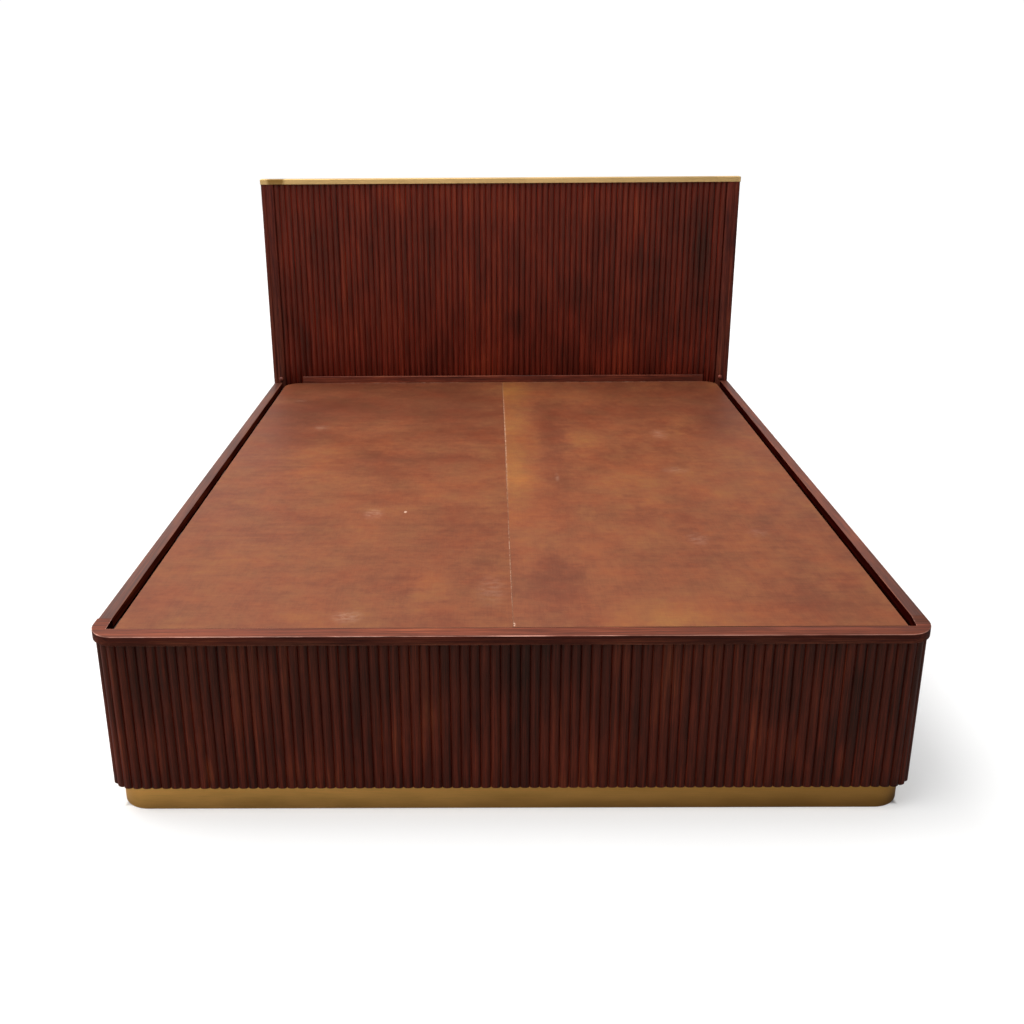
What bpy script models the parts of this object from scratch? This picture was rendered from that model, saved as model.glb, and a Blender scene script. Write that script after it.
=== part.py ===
"""A king size bed: a fluted box base with a lift-out deck of two boards and a fluted headboard.

Metres, +Z up. The foot end faces -Y and the headboard stands at +Y. The origin is on the floor, in the
middle of the bed's footprint. Depths below are measured from the foot rail's outer face towards the head.
"""

import math

import bmesh
import bpy
from mathutils import Vector

# Overall sizes
OVERALL_WIDTH = 1.930        # across the outer edges of the two side rails
DECK_HEIGHT = 0.475          # floor to the top of the rails and the deck
FOOT_TO_HEADBOARD = 2.195    # foot rail's outer face to the face of the headboard stiles
HEADBOARD_HEIGHT = 1.320
HEADBOARD_SET_IN = 0.001     # headboard's ends behind the rails' outer edges

# Top rails
FOOT_RAIL_WIDTH = 0.040
LEFT_RAIL_WIDTH = 0.0355
RIGHT_RAIL_WIDTH = 0.0315
FOOT_RAIL_ARM = 0.038        # width of the foot rail's short runs along the sides
RAIL_THICKNESS = 0.0235
RAIL_OVERHANG = 0.005        # past the crests of the flutes
RAIL_EDGE = 0.003            # rounding of the upper outer edge
RAIL_RETURN = 0.025          # straight run of the foot rail past its corners

# Fluted walls
CORNER_RADIUS = 0.060        # at the crests of the flutes
FLUTE_PITCH = 0.023
FLUTE_DEPTH = 0.008
FLUTE_BACKING = 0.003
PANEL_THICKNESS = 0.015

# Plinth
PLINTH_HEIGHT = 0.0665
PLINTH_INSET = 0.015         # behind the crests of the flutes
PLINTH_CORNER_RADIUS = 0.072  # at the brass, wider than the flutes' own corners
PLINTH_THICKNESS = 0.018
BRASS_THICKNESS = 0.0012
BRASS_LIFT = 0.001           # brass strip's lower edge above the floor

# Headboard
HEAD_PANEL_THICKNESS = 0.022
STILE_PROUD = 0.005          # in front of the crests of the flutes
STILE_BACK_PROUD = 0.002     # behind the panel
CAP_HEIGHT = 0.020
CAP_LIP = 0.001              # past the stiles' faces and outer sides
BATTEN_LENGTH = 1.680
BATTEN_THICKNESS = 0.010
BATTEN_ABOVE_DECK = 0.028
BATTEN_BELOW_DECK = 0.028
BUTTON_RADIUS = 0.009        # round covers over the headboard bolts, one on each stile
BUTTON_HEIGHT = 0.006
BUTTON_ABOVE_DECK = 0.017
BUTTON_FROM_END = 0.032      # middle of a button to the stile's outer side

# Deck
DECK_THICKNESS = 0.018
DECK_CORNER_RADIUS = 0.055   # the two outer corners at the head
DECK_END_GAP = 0.0015        # to the foot rail and to the batten
DECK_SEAM = 0.0008           # between the two boards
DECK_SEAM_X = 0.0075         # the left board is the wider one
LEFT_FINGER_SLOT = 0.022     # between the left board and its rail
RIGHT_FINGER_SLOT = 0.025

# Carcass under the deck
LEDGER_WIDTH = 0.030
LEDGER_HEIGHT = 0.045
BEARER_COUNT = 5
BEARER_WIDTH = 0.060
BEARER_HEIGHT = 0.045
BEARER_CLEARANCE = 0.002     # at a bearer's ends, and from the end bearers to the posts and the batten
BEAM_WIDTH = 0.045
BEAM_HEIGHT = 0.090
LEG_COUNT = 3
LEG_SIDE = 0.060
PAD_HEIGHT = 0.010

# Steel fittings
HANGER_STEEL = 0.003
HANGER_SEAT = 0.045
HANGER_DROP = 0.060
BRACKET_STEEL = 0.003
BRACKET_SHORT_LEG = 0.019
BRACKET_LONG_LEG = 0.045
BRACKET_HEIGHT = 0.120
BOLT_RADIUS = 0.003
BOLT_LENGTH = 0.016
BOLT_HEAD_RADIUS = 0.005
BOLT_HEAD_HEIGHT = 0.0035
BOLT_CLEARANCE = 0.0003      # round the shank and past its tip

GAP = 0.0003                 # between pieces that touch
FLUTE_FACETS = 4
CORNER_FACETS = 12
RAIL_EDGE_FACETS = 3
TURNED_SIDES = 12
SHARP_ANGLE = math.radians(50)

# Sizes that follow from the ones above
SKIN_THICKNESS = FLUTE_BACKING + FLUTE_DEPTH
WALL_THICKNESS = SKIN_THICKNESS + GAP + PANEL_THICKNESS
HALF_WIDTH = OVERALL_WIDTH / 2
HALF_FLUTED = HALF_WIDTH - RAIL_OVERHANG
WALL_INSIDE = HALF_FLUTED - WALL_THICKNESS
CORNER_X = HALF_FLUTED - CORNER_RADIUS
CORNER_DEPTH = RAIL_OVERHANG + CORNER_RADIUS
PLINTH_CORNER_X = HALF_FLUTED - PLINTH_INSET - PLINTH_CORNER_RADIUS
PLINTH_CORNER_DEPTH = RAIL_OVERHANG + PLINTH_INSET + PLINTH_CORNER_RADIUS
FOOT_INSIDE = RAIL_OVERHANG + WALL_THICKNESS
RAIL_CORNER_RADIUS = CORNER_RADIUS + RAIL_OVERHANG
RAIL_RETURN_DEPTH = RAIL_CORNER_RADIUS + RAIL_RETURN

STILE_OUTSIDE = HALF_WIDTH - HEADBOARD_SET_IN
STILE_INSIDE = WALL_INSIDE - GAP - BRACKET_SHORT_LEG - GAP
STILE_THICKNESS = STILE_PROUD + SKIN_THICKNESS + GAP + HEAD_PANEL_THICKNESS + STILE_BACK_PROUD
HEAD_CREST_DEPTH = FOOT_TO_HEADBOARD + STILE_PROUD
HEAD_PANEL_DEPTH = HEAD_CREST_DEPTH + SKIN_THICKNESS + GAP
BATTEN_DEPTH = HEAD_CREST_DEPTH - GAP - BATTEN_THICKNESS
OVERALL_LENGTH = FOOT_TO_HEADBOARD + STILE_THICKNESS
FOOT_Y = -OVERALL_LENGTH / 2

RAIL_UNDERSIDE = DECK_HEIGHT - RAIL_THICKNESS
HEADBOARD_UNDER_CAP = HEADBOARD_HEIGHT - CAP_HEIGHT - GAP
BEARER_TOP = DECK_HEIGHT - DECK_THICKNESS - GAP
LEDGER_TOP = BEARER_TOP - BEARER_HEIGHT - GAP
BEAM_UNDERSIDE = LEDGER_TOP - BEAM_HEIGHT
BRACKET_MIDDLE = (PLINTH_HEIGHT + LEDGER_TOP - LEDGER_HEIGHT) / 2


def make_material(name, colour, roughness, metallic=0.0):
    """One Principled material with its colour given as red, green and blue."""
    material = bpy.data.materials.new(name)
    material.use_nodes = True
    shader = material.node_tree.nodes["Principled BSDF"]
    shader.inputs["Base Color"].default_value = (*colour, 1.0)
    shader.inputs["Roughness"].default_value = roughness
    shader.inputs["Metallic"].default_value = metallic
    return material


def add_object(name, mesh, centre, material):
    """Put a mesh in the scene at its place, with its material."""
    mesh.materials.append(material)
    piece = bpy.data.objects.new(name, mesh)
    bpy.context.scene.collection.objects.link(piece)
    piece.location = centre
    return piece


def mesh_from(name, bm):
    """Close off a bmesh into a mesh with its faces turned outwards."""
    bmesh.ops.recalc_face_normals(bm, faces=bm.faces)
    mesh = bpy.data.meshes.new(name)
    bm.to_mesh(mesh)
    bm.free()
    return mesh


def block(name, x_range, depth_range, z_range, material):
    """A square-edged board between two x, two depths and two heights."""
    low = Vector((x_range[0], FOOT_Y + depth_range[0], z_range[0]))
    high = Vector((x_range[1], FOOT_Y + depth_range[1], z_range[1]))
    bm = bmesh.new()
    bmesh.ops.create_cube(bm, size=1.0)
    bmesh.ops.scale(bm, vec=high - low, verts=bm.verts)
    return add_object(name, mesh_from(name, bm), (low + high) / 2, material)


def prism(name, outline, height, material):
    """A flat outline in the local XY plane, pushed up by its height along local Z."""
    bm = bmesh.new()
    base = bm.faces.new([bm.verts.new((x, y, 0.0)) for x, y in outline])
    pushed = bmesh.ops.extrude_face_region(bm, geom=[base])
    moved = [item for item in pushed["geom"] if isinstance(item, bmesh.types.BMVert)]
    bmesh.ops.translate(bm, vec=(0.0, 0.0, height), verts=moved)
    return add_object(name, mesh_from(name, bm), (0.0, 0.0, 0.0), material)


def slab(name, outline, z_range, material, parent=None):
    """A plan outline of x and depth between two heights, with its origin in the middle of its box."""
    xs = [x for x, depth in outline]
    depths = [depth for x, depth in outline]
    middle_x = (min(xs) + max(xs)) / 2
    middle_depth = (min(depths) + max(depths)) / 2
    local = [(x - middle_x, depth - middle_depth) for x, depth in outline]
    piece = prism(name, local, z_range[1] - z_range[0], material)
    piece.location = (middle_x, FOOT_Y + middle_depth, z_range[0])
    if parent:
        piece.location -= parent.location
        piece.parent = parent
    return piece


def arc(centre, radius, start, end, facets=CORNER_FACETS):
    """Points along an arc between two angles in degrees, both ends included."""
    angles = [math.radians(start + (end - start) * i / facets) for i in range(facets + 1)]
    return [(centre[0] + radius * math.cos(a), centre[1] + radius * math.sin(a)) for a in angles]


def mirrored(side, outline):
    """The outline for the right side, or its mirror image for the left."""
    return [(side * x, depth) for x, depth in outline]


def round_upper_edges(piece, is_outer):
    """Round the upper edges whose two ends both lie on the outer outline."""
    bm = bmesh.new()
    bm.from_mesh(piece.data)
    top = max(vert.co.z for vert in bm.verts)
    picked = [
        edge
        for edge in bm.edges
        if all(abs(vert.co.z - top) < GAP and is_outer(vert.co + piece.location) for vert in edge.verts)
    ]
    bmesh.ops.bevel(bm, geom=picked, offset=RAIL_EDGE, segments=RAIL_EDGE_FACETS, profile=0.5, affect="EDGES")
    bm.to_mesh(piece.data)
    bm.free()


def fluted_skin(name, place, length, z_range, material, back_facets=1):
    """A thin backing with a row of half rounds on it.

    place turns a distance along the wall and a distance out from its back into x and depth. A skin that
    bends round a corner needs more than one facet on its back behind each flute.
    """
    count = max(1, round(length / FLUTE_PITCH))
    pitch = length / count
    bm = bmesh.new()

    def column(along, out):
        x, depth = place(along, out)
        return [bm.verts.new((x, FOOT_Y + depth, z)) for z in z_range]

    backs = [column(i * pitch / back_facets, 0.0) for i in range(count * back_facets + 1)]
    valleys = [column(i * pitch, FLUTE_BACKING) for i in range(count + 1)]
    for i in range(count):
        crest = []
        for k in range(1, FLUTE_FACETS):
            turn = math.pi * k / FLUTE_FACETS
            along = (i + 0.5) * pitch - 0.5 * pitch * math.cos(turn)
            crest.append(column(along, FLUTE_BACKING + FLUTE_DEPTH * math.sin(turn)))
        front = [valleys[i], *crest, valleys[i + 1]]
        behind = backs[i * back_facets : (i + 1) * back_facets + 1]
        ring = [*front, *reversed(behind)]
        bm.faces.new([low for low, high in ring])
        bm.faces.new([high for low, high in ring])
        for a, b in [*zip(front, front[1:]), *zip(behind, behind[1:])]:
            bm.faces.new([a[0], b[0], b[1], a[1]])
    for a, b in ((backs[0], valleys[0]), (backs[-1], valleys[-1])):
        bm.faces.new([a[0], b[0], b[1], a[1]])
    piece = add_object(name, mesh_from(name, bm), (0.0, 0.0, 0.0), material)
    piece.data.shade_smooth()
    piece.data.set_sharp_from_angle(angle=SHARP_ANGLE)
    return piece


def turned(name, profile, place, direction, material):
    """A turned piece from radius and height pairs, standing on local Z along a direction."""
    bm = bmesh.new()
    rings = []
    for radius, height in profile:
        ring = [(x, y, height) for x, y in arc((0.0, 0.0), radius, 0, 360, TURNED_SIDES)[:-1]]
        rings.append([bm.verts.new(point) for point in ring])
    for lower, upper in zip(rings, rings[1:]):
        for i in range(TURNED_SIDES):
            j = (i + 1) % TURNED_SIDES
            bm.faces.new([lower[i], lower[j], upper[j], upper[i]])
    bm.faces.new(rings[0])
    bm.faces.new(rings[-1])
    piece = add_object(name, mesh_from(name, bm), place, material)
    piece.rotation_euler = Vector(direction).to_track_quat("Z", "Y").to_euler()
    piece.data.shade_smooth()
    piece.data.set_sharp_from_angle(angle=SHARP_ANGLE)
    return piece


def drill(piece, cutter):
    """Cut a bolt hole through a piece."""
    cut = piece.modifiers.new("Bolt hole", "BOOLEAN")
    cut.operation = "DIFFERENCE"
    cut.object = cutter


def bolt_through(name, place, direction, pieces, steel):
    """A bolt whose head sits on a bracket at a place, with its hole drilled through the pieces below."""
    shank = [(BOLT_RADIUS, -BOLT_LENGTH), (BOLT_RADIUS, GAP)]
    head = [(BOLT_HEAD_RADIUS, GAP), (BOLT_HEAD_RADIUS, GAP + BOLT_HEAD_HEIGHT / 2)]
    crown = [(BOLT_HEAD_RADIUS / 2, GAP + BOLT_HEAD_HEIGHT)]
    bolt = turned(name, shank + head + crown, place, direction, steel)
    hole_radius = BOLT_RADIUS + BOLT_CLEARANCE
    bore = [(hole_radius, -BOLT_LENGTH - BOLT_CLEARANCE), (hole_radius, BOLT_HEAD_HEIGHT)]
    cutter = turned(name + "_hole", bore, place, direction, steel)
    cutter.hide_render = True
    cutter.display_type = "WIRE"
    for piece in pieces:
        drill(piece, cutter)
    return bolt


def build_foot(wood, stain):
    """Foot wall: a panel between two quarter-round posts, dressed with flutes, under the foot rail."""
    panel_z = (PLINTH_HEIGHT + GAP, RAIL_UNDERSIDE - GAP)
    skin_z = (PLINTH_HEIGHT, RAIL_UNDERSIDE - GAP)
    outside = RAIL_OVERHANG + SKIN_THICKNESS + GAP
    ends = (-CORNER_X + GAP, CORNER_X - GAP)
    block("foot_panel", ends, (outside, FOOT_INSIDE), panel_z, wood)
    posts = {}
    for side, word in ((-1, "left"), (1, "right")):
        centre = (CORNER_X, CORNER_DEPTH)
        pie = [centre, *arc(centre, CORNER_RADIUS - SKIN_THICKNESS - GAP, -90, 0)]
        posts[side] = slab(f"foot_corner_post_{word}", mirrored(side, pie), panel_z, wood)

        def round_corner(along, out, side=side):
            turn = along / CORNER_RADIUS - math.pi / 2
            radius = CORNER_RADIUS - SKIN_THICKNESS + out
            return side * (CORNER_X + radius * math.cos(turn)), CORNER_DEPTH + radius * math.sin(turn)

        quarter = CORNER_RADIUS * math.pi / 2
        skin_name = f"foot_corner_flutes_{word}"
        fluted_skin(skin_name, round_corner, quarter, skin_z, stain, back_facets=FLUTE_FACETS)

    def straight(along, out):
        return ends[0] + along, RAIL_OVERHANG + SKIN_THICKNESS - out

    fluted_skin("foot_flutes", straight, ends[1] - ends[0], skin_z, stain)
    build_foot_rail(stain)
    return posts


def build_foot_rail(stain):
    """Foot rail: one piece with both rounded corners, returned a little way along the sides."""
    corner = (HALF_WIDTH - RAIL_CORNER_RADIUS, RAIL_CORNER_RADIUS)
    inner = HALF_WIDTH - FOOT_RAIL_ARM
    right = arc(corner, RAIL_CORNER_RADIUS, -90, 0)
    right += [(HALF_WIDTH, RAIL_RETURN_DEPTH), (inner, RAIL_RETURN_DEPTH), (inner, FOOT_RAIL_WIDTH)]
    outline = right + mirrored(-1, reversed(right))
    rail = slab("foot_top_rail", outline, (RAIL_UNDERSIDE, DECK_HEIGHT), stain)
    corner_y = FOOT_Y + RAIL_CORNER_RADIUS

    def is_outer(point):
        if point.y > corner_y:
            return abs(point.x) > HALF_WIDTH - GAP
        if abs(point.x) < corner[0]:
            return point.y < FOOT_Y + GAP
        reach = math.hypot(abs(point.x) - corner[0], point.y - corner_y)
        return reach > RAIL_CORNER_RADIUS - GAP

    round_upper_edges(rail, is_outer)


def build_sides(wood, stain):
    """Side walls from the corner posts to the headboard: panel, flutes, top rail and ledger."""
    panel_z = (PLINTH_HEIGHT + GAP, RAIL_UNDERSIDE - GAP)
    skin_z = (PLINTH_HEIGHT, RAIL_UNDERSIDE - GAP)
    run = (CORNER_DEPTH + GAP, FOOT_TO_HEADBOARD - GAP)
    rail_run = (RAIL_RETURN_DEPTH + GAP, FOOT_TO_HEADBOARD - GAP)
    panels = {}
    for side, word, rail_width in ((-1, "left", LEFT_RAIL_WIDTH), (1, "right", RIGHT_RAIL_WIDTH)):

        def across(near, far, side=side):
            return sorted((side * near, side * far))

        panel_x = across(WALL_INSIDE, HALF_FLUTED - SKIN_THICKNESS - GAP)
        panels[side] = block(f"{word}_side_panel", panel_x, run, panel_z, wood)

        def straight(along, out, side=side):
            return side * (HALF_FLUTED - SKIN_THICKNESS + out), run[0] + along

        fluted_skin(f"{word}_side_flutes", straight, run[1] - run[0], skin_z, stain)
        rail_x = across(HALF_WIDTH - rail_width, HALF_WIDTH)
        rail = block(f"{word}_top_rail", rail_x, rail_run, (RAIL_UNDERSIDE, DECK_HEIGHT), stain)
        round_upper_edges(rail, lambda point: abs(point.x) > HALF_WIDTH - GAP)
        ledger_x = across(WALL_INSIDE - GAP - LEDGER_WIDTH, WALL_INSIDE - GAP)
        block(f"{word}_ledger", ledger_x, run, (LEDGER_TOP - LEDGER_HEIGHT, LEDGER_TOP), wood)
    return panels


def build_headboard(wood, stain, brass):
    """Headboard: two stiles with bolt covers, a panel with flutes between them, a batten and a brass cap."""
    depth = (FOOT_TO_HEADBOARD, FOOT_TO_HEADBOARD + STILE_THICKNESS)
    stiles = {}
    for side, word in ((-1, "left"), (1, "right")):
        x_range = sorted((side * STILE_INSIDE, side * STILE_OUTSIDE))
        stiles[side] = block(f"headboard_stile_{word}", x_range, depth, (0.0, HEADBOARD_UNDER_CAP), stain)
        face = FOOT_Y + FOOT_TO_HEADBOARD - GAP
        middle = (side * (STILE_OUTSIDE - BUTTON_FROM_END), face, DECK_HEIGHT + BUTTON_ABOVE_DECK)
        rim = [(BUTTON_RADIUS, 0.0), (BUTTON_RADIUS, BUTTON_HEIGHT / 3)]
        dome = [(BUTTON_RADIUS * 0.8, BUTTON_HEIGHT * 0.75), (BUTTON_RADIUS * 0.4, BUTTON_HEIGHT)]
        turned(f"headboard_button_{word}", rim + dome, middle, (0, -1, 0), stain)
    ends = (-STILE_INSIDE + GAP, STILE_INSIDE - GAP)
    panel_depth = (HEAD_PANEL_DEPTH, HEAD_PANEL_DEPTH + HEAD_PANEL_THICKNESS)
    block("headboard_panel", ends, panel_depth, (0.0, HEADBOARD_UNDER_CAP), wood)

    def straight(along, out):
        return ends[0] + along, HEAD_CREST_DEPTH + SKIN_THICKNESS - out

    skin_z = (DECK_HEIGHT - BATTEN_BELOW_DECK, HEADBOARD_UNDER_CAP)
    fluted_skin("headboard_flutes", straight, ends[1] - ends[0], skin_z, stain)
    batten_x = (-BATTEN_LENGTH / 2, BATTEN_LENGTH / 2)
    batten_z = (DECK_HEIGHT - BATTEN_BELOW_DECK, DECK_HEIGHT + BATTEN_ABOVE_DECK)
    block("headboard_batten", batten_x, (BATTEN_DEPTH, BATTEN_DEPTH + BATTEN_THICKNESS), batten_z, stain)
    cap_x = (-STILE_OUTSIDE - CAP_LIP, STILE_OUTSIDE + CAP_LIP)
    cap_depth = (depth[0] - CAP_LIP, depth[1])
    block("headboard_brass_cap", cap_x, cap_depth, (HEADBOARD_HEIGHT - CAP_HEIGHT, HEADBOARD_HEIGHT), brass)
    return stiles


def build_plinth(wood, brass):
    """Plinth: boards and round corner blocks on the floor, faced with brass strip."""
    face = PLINTH_INSET + BRASS_THICKNESS + GAP
    height = (0.0, PLINTH_HEIGHT)
    strip = (BRASS_LIFT, PLINTH_HEIGHT - GAP)
    centre = (PLINTH_CORNER_X, PLINTH_CORNER_DEPTH)
    run = (PLINTH_CORNER_DEPTH + GAP, FOOT_TO_HEADBOARD - GAP)
    foot_x = (-PLINTH_CORNER_X + GAP, PLINTH_CORNER_X - GAP)
    foot_depth = (RAIL_OVERHANG + face, RAIL_OVERHANG + face + PLINTH_THICKNESS)
    inner = PLINTH_CORNER_RADIUS - BRASS_THICKNESS
    block("foot_plinth_board", foot_x, foot_depth, height, wood)
    for side, word in ((-1, "left"), (1, "right")):
        pie = [centre, *arc(centre, inner - GAP, -90, 0)]
        slab(f"plinth_corner_block_{word}", mirrored(side, pie), height, wood)
        outside = HALF_FLUTED - face
        board_x = sorted((side * outside, side * (outside - PLINTH_THICKNESS)))
        block(f"{word}_plinth_board", board_x, run, height, wood)
        strip_x = sorted((side * (outside + GAP), side * (outside + GAP + BRASS_THICKNESS)))
        block(f"{word}_plinth_brass", strip_x, run, strip, brass)
    outline = mirrored(-1, reversed(arc(centre, PLINTH_CORNER_RADIUS, -90, 0)))
    outline += arc(centre, PLINTH_CORNER_RADIUS, -90, 0)
    outline += arc(centre, inner, 0, -90)
    outline += mirrored(-1, arc(centre, inner, -90, 0))
    slab("foot_plinth_brass", outline, strip, brass)


def build_carcass(wood, steel, rubber):
    """What carries the deck: cross bearers on the ledgers and on a centre beam with its legs."""
    first = CORNER_DEPTH + BEARER_CLEARANCE
    last = min(FOOT_TO_HEADBOARD, BATTEN_DEPTH) - BEARER_CLEARANCE - BEARER_WIDTH
    widest_rail = max(FOOT_RAIL_ARM, LEFT_RAIL_WIDTH, RIGHT_RAIL_WIDTH)
    reach = min(WALL_INSIDE, HALF_WIDTH - widest_rail) - BEARER_CLEARANCE
    for i in range(BEARER_COUNT):
        start = first + (last - first) * i / (BEARER_COUNT - 1)
        depth = (start, start + BEARER_WIDTH)
        block(f"cross_bearer_{i + 1}", (-reach, reach), depth, (BEARER_TOP - BEARER_HEIGHT, BEARER_TOP), wood)
    beam = (FOOT_INSIDE + GAP, HEAD_PANEL_DEPTH - GAP)
    beam_x = (-BEAM_WIDTH / 2, BEAM_WIDTH / 2)
    block("centre_beam", beam_x, beam, (BEAM_UNDERSIDE, LEDGER_TOP), wood)
    for i in range(LEG_COUNT):
        middle = beam[0] + (beam[1] - beam[0]) * (i + 1) / (LEG_COUNT + 1)
        leg_x = (-LEG_SIDE / 2, LEG_SIDE / 2)
        leg_depth = (middle - LEG_SIDE / 2, middle + LEG_SIDE / 2)
        block(f"centre_leg_{i + 1}", leg_x, leg_depth, (PAD_HEIGHT + GAP, BEAM_UNDERSIDE - GAP), wood)
        block(f"centre_leg_pad_{i + 1}", leg_x, leg_depth, (0.0, PAD_HEIGHT), rubber)
    for word, wall, towards in (("foot", FOOT_INSIDE + GAP, 1), ("head", HEAD_PANEL_DEPTH - GAP, -1)):
        angle = [(0, 0), (HANGER_SEAT, 0), (HANGER_SEAT, -HANGER_STEEL), (HANGER_STEEL, -HANGER_STEEL)]
        angle += [(HANGER_STEEL, -HANGER_DROP), (0, -HANGER_DROP)]
        hanger = prism(f"beam_hanger_{word}", [(towards * a, b) for a, b in angle], BEAM_WIDTH, steel)
        hanger.rotation_euler = (math.pi / 2, 0.0, math.pi / 2)
        hanger.location = (-BEAM_WIDTH / 2, FOOT_Y + wall, BEAM_UNDERSIDE - GAP)


def build_brackets(posts, panels, stiles, steel):
    """Steel angles that bolt each side wall to a foot post and to a headboard stile."""
    angle = [(0, 0), (BRACKET_SHORT_LEG, 0), (BRACKET_SHORT_LEG, BRACKET_STEEL)]
    angle += [(BRACKET_STEEL, BRACKET_STEEL), (BRACKET_STEEL, BRACKET_LONG_LEG), (0, BRACKET_LONG_LEG)]
    z_range = (BRACKET_MIDDLE - BRACKET_HEIGHT / 2, BRACKET_MIDDLE + BRACKET_HEIGHT / 2)
    short_middle = (BRACKET_STEEL + BRACKET_SHORT_LEG) / 2
    long_middle = (BRACKET_STEEL + BRACKET_LONG_LEG) / 2
    ends = (("foot", CORNER_DEPTH + GAP, 1, posts), ("head", FOOT_TO_HEADBOARD - GAP, -1, stiles))
    for side, word in ((-1, "left"), (1, "right")):
        for end, corner_depth, towards, uprights in ends:
            corner_x = WALL_INSIDE - GAP
            outline = [(side * (corner_x - a), corner_depth + towards * b) for a, b in angle]
            bracket = slab(f"{end}_bracket_{word}", outline, z_range, steel)
            face_x = side * (corner_x - short_middle)
            face_y = FOOT_Y + corner_depth + towards * BRACKET_STEEL
            upright_place = (face_x, face_y, BRACKET_MIDDLE)
            upright_pieces = (bracket, uprights[side])
            bolt_through(f"{end}_post_bolt_{word}", upright_place, (0, towards, 0), upright_pieces, steel)
            leg_y = FOOT_Y + corner_depth + towards * long_middle
            side_place = (side * (corner_x - BRACKET_STEEL), leg_y, BRACKET_MIDDLE)
            side_pieces = (bracket, panels[side])
            bolt_through(f"{end}_side_bolt_{word}", side_place, (-side, 0, 0), side_pieces, steel)


def build_deck(plywood):
    """Deck: two loose boards that lift straight up, each on an empty in the middle of its underside."""
    left_edge = -HALF_WIDTH + LEFT_RAIL_WIDTH + LEFT_FINGER_SLOT
    right_edge = HALF_WIDTH - RIGHT_RAIL_WIDTH - RIGHT_FINGER_SLOT
    front = FOOT_RAIL_WIDTH + DECK_END_GAP
    back = BATTEN_DEPTH - DECK_END_GAP
    underside = DECK_HEIGHT - DECK_THICKNESS
    for side, word, outer in ((-1, "left", left_edge), (1, "right", right_edge)):
        inner = DECK_SEAM_X + side * DECK_SEAM / 2
        lift = bpy.data.objects.new(f"{word}_deck_lift", None)
        lift.location = ((outer + inner) / 2, FOOT_Y + (front + back) / 2, underside)
        bpy.context.scene.collection.objects.link(lift)
        corner = (side * outer - DECK_CORNER_RADIUS, back - DECK_CORNER_RADIUS)
        rounded = mirrored(side, arc(corner, DECK_CORNER_RADIUS, 0, 90))
        outline = [(inner, front), (outer, front), *rounded, (inner, back)]
        slab(f"deck_board_{word}", outline, (underside, DECK_HEIGHT), plywood, parent=lift)


def main():
    for old in list(bpy.data.objects):
        bpy.data.objects.remove(old)
    stain = make_material("mahogany stain", (0.055, 0.013, 0.008), 0.38)
    wood = make_material("sheesham core", (0.23, 0.10, 0.05), 0.65)
    plywood = make_material("stained plywood", (0.27, 0.095, 0.045), 0.45)
    brass = make_material("brushed brass", (0.50, 0.33, 0.12), 0.35, metallic=1.0)
    steel = make_material("zinc steel", (0.55, 0.56, 0.58), 0.4, metallic=1.0)
    rubber = make_material("black rubber", (0.02, 0.02, 0.02), 0.8)
    posts = build_foot(wood, stain)
    panels = build_sides(wood, stain)
    stiles = build_headboard(wood, stain, brass)
    build_plinth(wood, brass)
    build_carcass(wood, steel, rubber)
    build_brackets(posts, panels, stiles, steel)
    build_deck(plywood)


main()
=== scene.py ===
# %% [markdown]
# # A king size bed with a fluted base
#
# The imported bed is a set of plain, exact solids. This lesson dresses it for a picture: every wall of
# half-round flutes, every rail, board and strip is built again with soft edges and a finish of its own.
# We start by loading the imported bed, because each new piece takes its place and its size from it.

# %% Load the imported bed
import math
import random

import bmesh
import bpy
from mathutils import Matrix, Vector


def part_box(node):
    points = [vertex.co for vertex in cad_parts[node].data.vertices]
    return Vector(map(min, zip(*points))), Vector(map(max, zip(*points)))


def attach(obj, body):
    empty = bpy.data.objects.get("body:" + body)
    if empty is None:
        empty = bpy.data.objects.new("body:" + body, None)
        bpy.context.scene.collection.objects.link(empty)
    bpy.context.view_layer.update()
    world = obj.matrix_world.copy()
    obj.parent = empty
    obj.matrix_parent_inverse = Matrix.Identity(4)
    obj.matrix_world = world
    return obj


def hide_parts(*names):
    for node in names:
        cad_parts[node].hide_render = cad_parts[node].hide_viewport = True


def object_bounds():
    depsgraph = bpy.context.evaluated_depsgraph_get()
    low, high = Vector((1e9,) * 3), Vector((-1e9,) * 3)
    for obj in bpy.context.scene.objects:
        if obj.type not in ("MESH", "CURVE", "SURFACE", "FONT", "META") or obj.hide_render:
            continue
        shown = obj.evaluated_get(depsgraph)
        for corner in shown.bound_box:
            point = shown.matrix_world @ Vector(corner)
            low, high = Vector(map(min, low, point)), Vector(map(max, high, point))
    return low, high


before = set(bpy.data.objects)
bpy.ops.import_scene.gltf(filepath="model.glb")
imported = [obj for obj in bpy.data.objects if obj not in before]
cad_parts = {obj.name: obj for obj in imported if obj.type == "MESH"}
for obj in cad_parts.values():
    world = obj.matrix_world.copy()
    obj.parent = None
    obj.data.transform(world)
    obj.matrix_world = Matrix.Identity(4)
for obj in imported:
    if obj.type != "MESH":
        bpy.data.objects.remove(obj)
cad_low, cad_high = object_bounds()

print("solid box in metres:", [round(side, 4) for side in cad_high - cad_low])

# %% [markdown]
# ## The camera
#
# The photograph was taken from a standing height at the foot of the bed. Its place and lens were found by
# fitting the bed's straight edges to the picture. The bed was cut out and set on a white square, so the
# middle of the lens isn't the middle of the square, and a small lens shift takes care of that.

# %% Place the camera
IMAGE_SIDE = 1024
SENSOR_WIDTH = 36.0
FOCAL_PIXELS = 1041.8
LENS_MIDDLE = (484.2, 429.5)       # pixels from the left and from the top
CAMERA_X = -0.0430
CAMERA_BEFORE_FOOT = 2.0909
CAMERA_HEIGHT = 1.6299
YAW = -0.0064
PITCH = 0.3089
ROLL = 0.0068

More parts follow.
